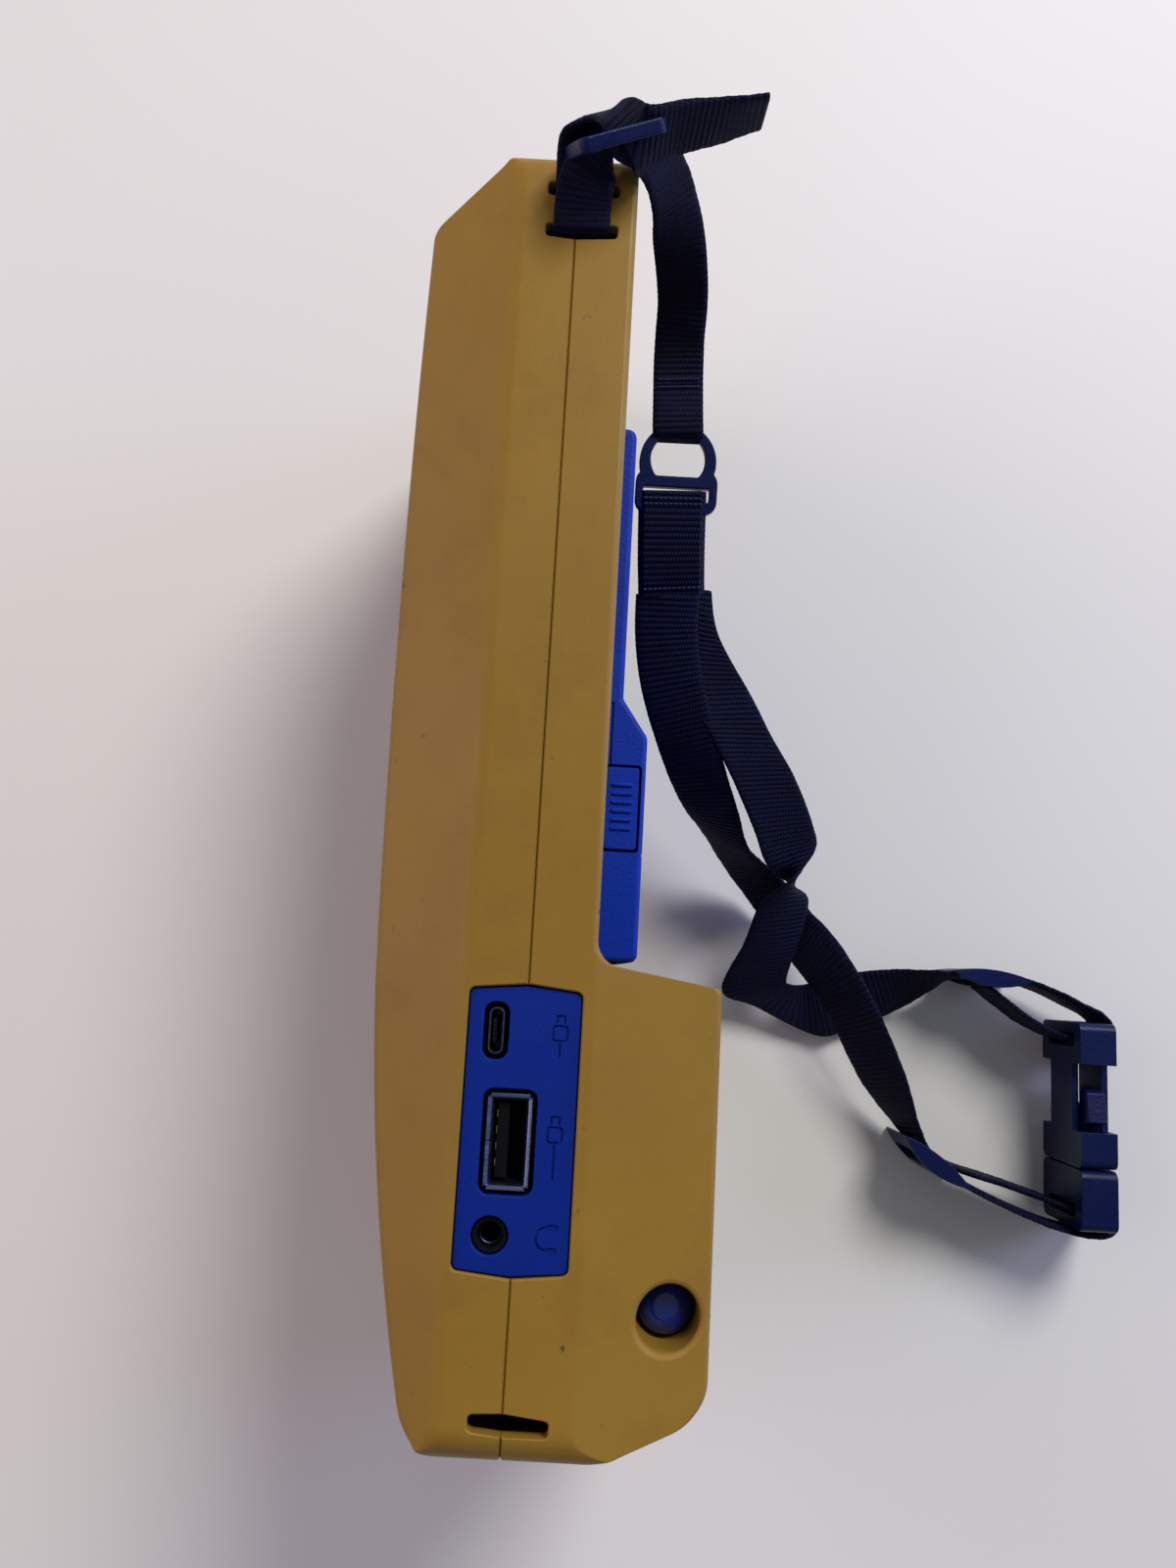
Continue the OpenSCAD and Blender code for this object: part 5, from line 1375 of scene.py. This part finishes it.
PATCH = [
    (19, 60.3, 58.4, 1, 0, 0), (19.2, 55, 56.8, 1, 0, 0), (19.6, 48, 53.6, 1, 0, 0),
    (20.2, 42, 50, 1, 0, 0)]


WEB_STEP = 0.29  # distance between two rows of the webbing's skin
PATCH_THICK = 3.4
LOOP_HOLLOW = 0.25  # how far the loop's webbing bows between its edges
END_ANGLE = 60  # degrees between two faces from which a webbing edge stays sharp


def curve_through(points, spacing):
    """Even samples of the smooth curve through rows of numbers, measured over their first three."""
    p = np.array(points, float)
    fine = []
    for i in range(len(p) - 1):
        a, b, c, d = p[max(i - 1, 0)], p[i], p[i + 1], p[min(i + 2, len(p) - 1)]
        for t in np.arange(60) / 60:
            fine.append(0.5 * (2 * b + (c - a) * t + (2 * a - 5 * b + 4 * c - d) * t * t
                               + (3 * b - a - 3 * c + d) * t**3))
    fine = np.array(fine + [p[-1]])
    gone = np.concatenate([[0], np.cumsum(np.linalg.norm(np.diff(fine[:, :3], axis=0), axis=1))])
    steps = np.linspace(0, gone[-1], max(4, int(gone[-1] / spacing)))
    return np.stack([np.interp(steps, gone, fine[:, k]) for k in range(p.shape[1])], axis=1), steps


def unit_rows(rows):
    return rows / np.linalg.norm(rows, axis=1)[:, None]


def follow(route, spacing, width):
    """Frames along a route of (place, width's direction): place, side, up, how far along, half width."""
    even, steps = curve_through(route, spacing)
    run = unit_rows(np.gradient(even[:, :3], axis=0))
    side = unit_rows(even[:, 3:] - run * np.sum(even[:, 3:] * run, axis=1)[:, None])
    for _ in range(6):
        side[1:-1] = (side[:-2] + 2 * side[1:-1] + side[2:]) / 4
    side = unit_rows(side - run * np.sum(side * run, axis=1)[:, None])
    return even[:, :3], side, np.cross(run, side), steps, np.full(len(steps), width / 2)


def follow_edges(pairs, spacing):
    """The same frames along webbing given by pairs of points on its two edges."""
    rows = [[(a + b) / 2 for a, b in zip(left, right)] + [(a - b) / 2 for a, b in zip(left, right)]
            for left, right in pairs]
    even, steps = curve_through(rows, spacing)
    run = unit_rows(np.gradient(even[:, :3], axis=0))
    side, half = unit_rows(even[:, 3:]), np.linalg.norm(even[:, 3:], axis=1)
    up = unit_rows(np.cross(run, side))
    return even[:, :3], side, up, steps, half


def webbing_piece(name, frames, strap, thick=None, hollow=0.0):
    """Webbing as a closed skin along its frames, with cross ribs, soft edges and a weave map."""
    thick = thick or strap.thickness / MM
    pitch, height = strap.rib_pitch / MM, strap.rib_height / MM
    place, side, up, along, half = frames
    flat = 13
    across = np.concatenate([np.linspace(-1, 1, flat), [1.0, 1.0], np.linspace(1, -1, flat), [-1.0, -1.0]])
    face = np.concatenate([np.ones(flat), [0.45, -0.45], -np.ones(flat), [-0.45, 0.45]])
    edge = np.clip((np.abs(across) - 0.8) / 0.2, 0, 1)
    count, rows = len(across), len(along)
    wave = np.abs(np.sin(math.pi * along / pitch))
    grid = np.zeros((rows, count, 3))
    for k in range(count):
        corner = abs(across[k]) > 0.999 and abs(face[k]) > 0.9
        reach = across[k] * (half - 0.3 * thick * corner)
        lift = face[k] * (thick / 2 - height / 2 + height * (wave - 0.5) * (1 - 0.5 * edge[k]))
        lift = lift * (1 - 0.24 * edge[k] ** 2)
        sag = hollow * (1 - across[k] ** 2)
        wobble = 0.05 * np.sin(along * 0.9 + 1.7 * across[k]) + 0.04 * np.sin(along * 2.3 + 3 * across[k])
        grid[:, k] = place + side * (reach + 0.05 * wave * np.sign(across[k]) * (edge[k] > 0.9))[:, None]
        grid[:, k] += up * (lift + sag + wobble * edge[k])[:, None]
    girth = np.concatenate([[0], np.cumsum(np.hypot(np.diff(np.append(across, across[0])) * half.mean(),
                                                    np.diff(np.append(face, face[0])) * thick / 2))])
    faces, uvs = [], []
    for i in range(rows - 1):
        for k in range(count):
            j = (k + 1) % count
            faces.append((i * count + k, (i + 1) * count + k, (i + 1) * count + j, i * count + j))
            for u, v in ((k, i), (k, i + 1), (k + 1, i + 1), (k + 1, i)):
                uvs += [girth[u], along[v]]
    ends = [(k, k + 1, 2 * flat - k, 2 * flat + 1 - k) for k in range(flat - 1)]
    ends += [(flat - 1, flat, flat + 1, flat + 2), (2 * flat + 1, 2 * flat + 2, 2 * flat + 3, 0)]
    for base, turned in ((0, False), ((rows - 1) * count, True)):
        for quad in ends:
            quad = [base + v for v in quad]
            faces.append(quad[::-1] if turned else quad)
            uvs += [0.0] * 8
    mesh = bpy.data.meshes.new(name)
    mesh.from_pydata([tuple(v) for v in grid.reshape(-1, 3)], [], faces)
    layer = mesh.uv_layers.new(name="weave")
    layer.data.foreach_set("uv", [c * MM for c in uvs])
    obj = placed(name, mesh)
    bm = bmesh.new()
    bm.from_mesh(mesh)
    bmesh.ops.recalc_face_normals(bm, faces=bm.faces)
    bm.to_mesh(mesh)
    bm.free()
    return obj, along[-1]


def stitch_rows(route, rows, width, thick, strap):
    """Places for stitches: each row is a distance along the route, on both faces."""
    place, side, up, along, _ = follow(route, 0.5, width)
    run = np.cross(side, up)
    places = []
    count = strap.stitch_count * 2
    for at in rows:
        i = int(np.argmin(np.abs(along - at)))
        for face in (1, -1):
            for k in range(count):
                shift = (k - (count - 1) / 2) * (width - 1.6) / count
                spot = place[i] + side[i] * shift + up[i] * face * (thick / 2 + 0.04)
                turned = Matrix((side[i], up[i], -run[i])).transposed()
                places.append((tuple(spot), tuple(turned.to_euler())))
    return places


def stitch_template(strap):
    """One stitch of thread, its ends dipping into the webbing."""
    length, radius = strap.stitch_length / MM * 0.55, 0.2
    half = ((-1, 0.02), (-0.92, 0.6), (-0.7, 0.95), (-0.3, 1.05))
    rings = []
    for t, r in (*half, *[(-t, r) for t, r in reversed(half)]):
        drop = -0.16 * t**4
        rings.append([(t * length / 2, drop + radius * r * math.cos(a), radius * r * math.sin(a))
                      for a in np.linspace(0, 2 * math.pi, 9)[:-1]])
    return loft("stitch_template", rings)


class COLLECTOR_OT_webbing(bpy.types.Operator):
    """Weave the tether and the wrist loop with its sewn end"""

    bl_idname = "collector.webbing"
    bl_label = "Webbing"

    def execute(self, context):
        strap = context.scene.collector_strap
        wide, narrow = strap.loop_width / MM, strap.tether_width / MM - 0.3
        tether = follow(TETHER, WEB_STEP, narrow)
        upper, lower = follow_edges(UPPER_EDGES, WEB_STEP), follow(LOWER, WEB_STEP, wide)
        for name, frames, width, node, material, hollow in (
                ("tether_strap", tether, narrow, "tether_webbing", "tether", 0.0),
                ("loop_strap_upper", upper, wide, "loop_webbing_upper", "webbing", LOOP_HOLLOW),
                ("loop_strap_lower", lower, wide, "loop_webbing_lower", "webbing", LOOP_HOLLOW)):
            obj, length = webbing_piece(name, frames, strap, hollow=hollow)
            finish_piece(obj, name, "case", material, [node], END_ANGLE, False)
        self.patch(strap, wide + 0.6)
        length = follow(TETHER, 0.5, narrow)[3][-1]
        # Stitches hold the tether's two layers together above the ring
        rows = stitch_rows(TETHER, (length - 26.2, length - 24.6), narrow, strap.thickness / MM, strap)
        stitches = scatter("tether_stitches", stitch_template(strap), rows, "thread")
        finish_piece(stitches, "tether_stitches", "case", "thread", (), END_ANGLE, False)
        return {"FINISHED"}

    def patch(self, strap, width):
        obj, length = webbing_piece("loop_patch_folded", follow(PATCH, WEB_STEP, width), strap, PATCH_THICK)
        finish_piece(obj, "loop_patch_folded", "case", "webbing", ["loop_patch"], END_ANGLE,
                     False)
        places = stitch_rows(PATCH, (1.5, 2.4, length - 1.6), width, PATCH_THICK, strap)
        stitches = scatter("patch_stitches", stitch_template(strap), places, "thread")
        finish_piece(stitches, "patch_stitches", "case", "thread", (), END_ANGLE, False)


# ---------------------------------------------------------------- strap hardware


SLIDER_HALF_WIDTH, SLIDER_HALF_HEIGHT, SLIDER_THICK = 8.7, 8.5, 4.4


def lens_slider(name, node, turn_matrix):
    """A slider with a lens-shaped section and two slots; its bar runs across the webbing."""
    half, tall, thick = SLIDER_HALF_WIDTH, SLIDER_HALF_HEIGHT, SLIDER_THICK
    ys = [-tall + 2 * tall * k / 24 for k in range(25)]
    outline = [(y, thick / 2 * (1 - (y / tall) ** 2) + 0.18) for y in ys]
    outline += [(y, -thick / 2 * 0.55 * (1 - (y / tall) ** 2) - 0.18) for y in reversed(ys)]
    plate = loft(name, [[(x, p[0], p[1]) for p in outline] for x in (-half, half)])
    round_edges(plate, 0.5, 3, 40)
    cuts = [prism("slot", [rounded_box(-6.85, low, 6.85, low + 4.4, 0.9, 5)], -4, 4) for low in (-5.6, 1.2)]
    combine(plate, [join(cuts, "slots")], "DIFFERENCE")
    moved(plate, turn_matrix)
    finish_piece(plate, name, "case", "strap_plastic", [node], 30)


def turning(x=0, y=0, z=0):
    return (Matrix.Rotation(math.radians(z), 4, "Z") @ Matrix.Rotation(math.radians(y), 4, "Y")
            @ Matrix.Rotation(math.radians(x), 4, "X"))


class COLLECTOR_OT_hardware(bpy.types.Operator):
    """Build the sliders, the ring and the side-release buckle"""

    bl_idname = "collector.hardware"
    bl_label = "Strap hardware"

    def execute(self, context):
        for node, rounding in (("tether_slider", 0.5), ("strap_ring", 0.55), ("buckle_socket", 0.6),
                               ("buckle_plug", 0.6)):
            piece = softened(node, rounding)
            finish_piece(piece, node + "_moulding", "case", "strap_plastic", [node], 35)
        for node in ("buckle_arm_low", "buckle_arm_high"):
            finish_piece(softened(node, 0.8, 4), node + "_moulding", node, "strap_plastic",
                         [node], 35)
        for node, place, z_turn in (("upper_slider", (97.4, -30.6, 8.8), -5),
                                    ("lower_slider", (85.4, -71, 8.8), -36)):
            matrix = Matrix.Translation(place) @ turning(z=z_turn) @ turning(y=-90, z=90)
            lens_slider(node + "_lens", node, matrix)
        return {"FINISHED"}


# ---------------------------------------------------------------- stage


CAMERA_PLACE = (0.0055, -0.0344, 0.280)
CAMERA_TILT, CAMERA_ROLL = 9, 3.2  # degrees
CAMERA_LENS, CAMERA_SENSOR = 27.05, 36
FLOOR_HALF, FLOOR_Z = 3, -0.0003
LIGHT_TARGET = (0.03, 0, 0.03)


class COLLECTOR_OT_stage(bpy.types.Operator):
    """Place the camera, the floor and the lights"""

    bl_idname = "collector.stage"
    bl_label = "Stage"

    def execute(self, context):
        scene = context.scene
        scene.view_settings.view_transform = "Standard"
        tilt, roll = math.radians(CAMERA_TILT), math.radians(CAMERA_ROLL)
        right, up = Vector((1, 0, 0)), Vector((0, math.cos(tilt), math.sin(tilt)))
        look = Vector((0, math.sin(tilt), -math.cos(tilt)))
        side = right * math.cos(roll) + up * math.sin(roll)
        top = up * math.cos(roll) - right * math.sin(roll)
        data = bpy.data.cameras.new("camera")
        data.lens, data.sensor_width = CAMERA_LENS, CAMERA_SENSOR
        data.clip_start, data.clip_end = 0.01, 20
        camera = placed("camera", data)
        place = Vector(CAMERA_PLACE)
        camera.matrix_world = Matrix((
            (side.x, top.x, -look.x, place.x), (side.y, top.y, -look.y, place.y),
            (side.z, top.z, -look.z, place.z), (0, 0, 0, 1)))
        scene.camera = camera
        edges = box_outline(-FLOOR_HALF, -FLOOR_HALF, FLOOR_HALF, FLOOR_HALF)
        floor = object_from("floor", [(x, y, FLOOR_Z) for x, y in edges], [(0, 1, 2, 3)])
        material, tree, shader = new_material("floor_paper")
        shader.inputs["Roughness"].default_value = 0.9
        feed(tree, shader, "Base Color", noise(tree, 3, 2), [(0.3, 0.70), (0.7, 0.74)])
        floor.data.materials.append(material)
        self.add_light("key", (0.45, 0.75, 0.85), 0.5, 11.5, (1.0, 0.97, 0.9))
        self.add_light("cool_rim", (0.95, 0.3, 0.3), 0.5, 4.5, (0.5, 0.56, 1.0))
        self.add_light("fill", (-0.85, 0.1, 0.5), 0.9, 4.2, (1.0, 0.72, 0.7))
        world = bpy.data.worlds.new("studio")
        scene.world = world
        world.use_nodes = True
        background = world.node_tree.nodes["Background"]
        background.inputs["Color"].default_value = (0.86, 0.9, 1.0, 1)
        background.inputs["Strength"].default_value = 0.22
        return {"FINISHED"}

    @staticmethod
    def add_light(name, place, size, power, colour):
        data = bpy.data.lights.new(name, "AREA")
        data.shape = "DISK"
        data.size = size
        data.energy = power
        data.color = colour
        lamp = placed(name, data)
        lamp.location = place
        aim = Vector(LIGHT_TARGET) - Vector(place)
        lamp.rotation_euler = aim.to_track_quat("-Z", "Y").to_euler()


OPERATORS = [COLLECTOR_OT_stage, COLLECTOR_OT_case, COLLECTOR_OT_display, COLLECTOR_OT_keys,
             COLLECTOR_OT_ports, COLLECTOR_OT_battery, COLLECTOR_OT_plug, COLLECTOR_OT_webbing,
             COLLECTOR_OT_hardware]


class COLLECTOR_PT_panel(bpy.types.Panel):
    """The collector's settings and builders"""

    bl_label = "Field Data Collector"
    bl_idname = "COLLECTOR_PT_panel"
    bl_space_type = "VIEW_3D"
    bl_region_type = "UI"
    bl_category = "Collector"

    def draw(self, context):
        scene = context.scene
        for group in (scene.collector_case, scene.collector_strap, scene.collector_part):
            box = self.layout.box()
            for name in group.__annotations__:
                box.prop(group, name)
        for operator in OPERATORS:
            self.layout.operator(operator.bl_idname)


GROUPS = {"collector_case": CaseSettings, "collector_strap": StrapSettings, "collector_part": PartSettings}


def register():
    for name, group in GROUPS.items():
        bpy.utils.register_class(group)
        setattr(bpy.types.Scene, name, PointerProperty(type=group))
    for item in (*OPERATORS, COLLECTOR_PT_panel):
        bpy.utils.register_class(item)


def unregister():
    for item in (COLLECTOR_PT_panel, *reversed(OPERATORS)):
        bpy.utils.unregister_class(item)
    for name, group in GROUPS.items():
        delattr(bpy.types.Scene, name)
        bpy.utils.unregister_class(group)


def main():
    register()
    make_materials(bpy.context.scene)
    for operator in OPERATORS:
        area, name = operator.bl_idname.split(".")
        getattr(getattr(bpy.ops, area), name)()


if __name__ == "__main__":
    main()
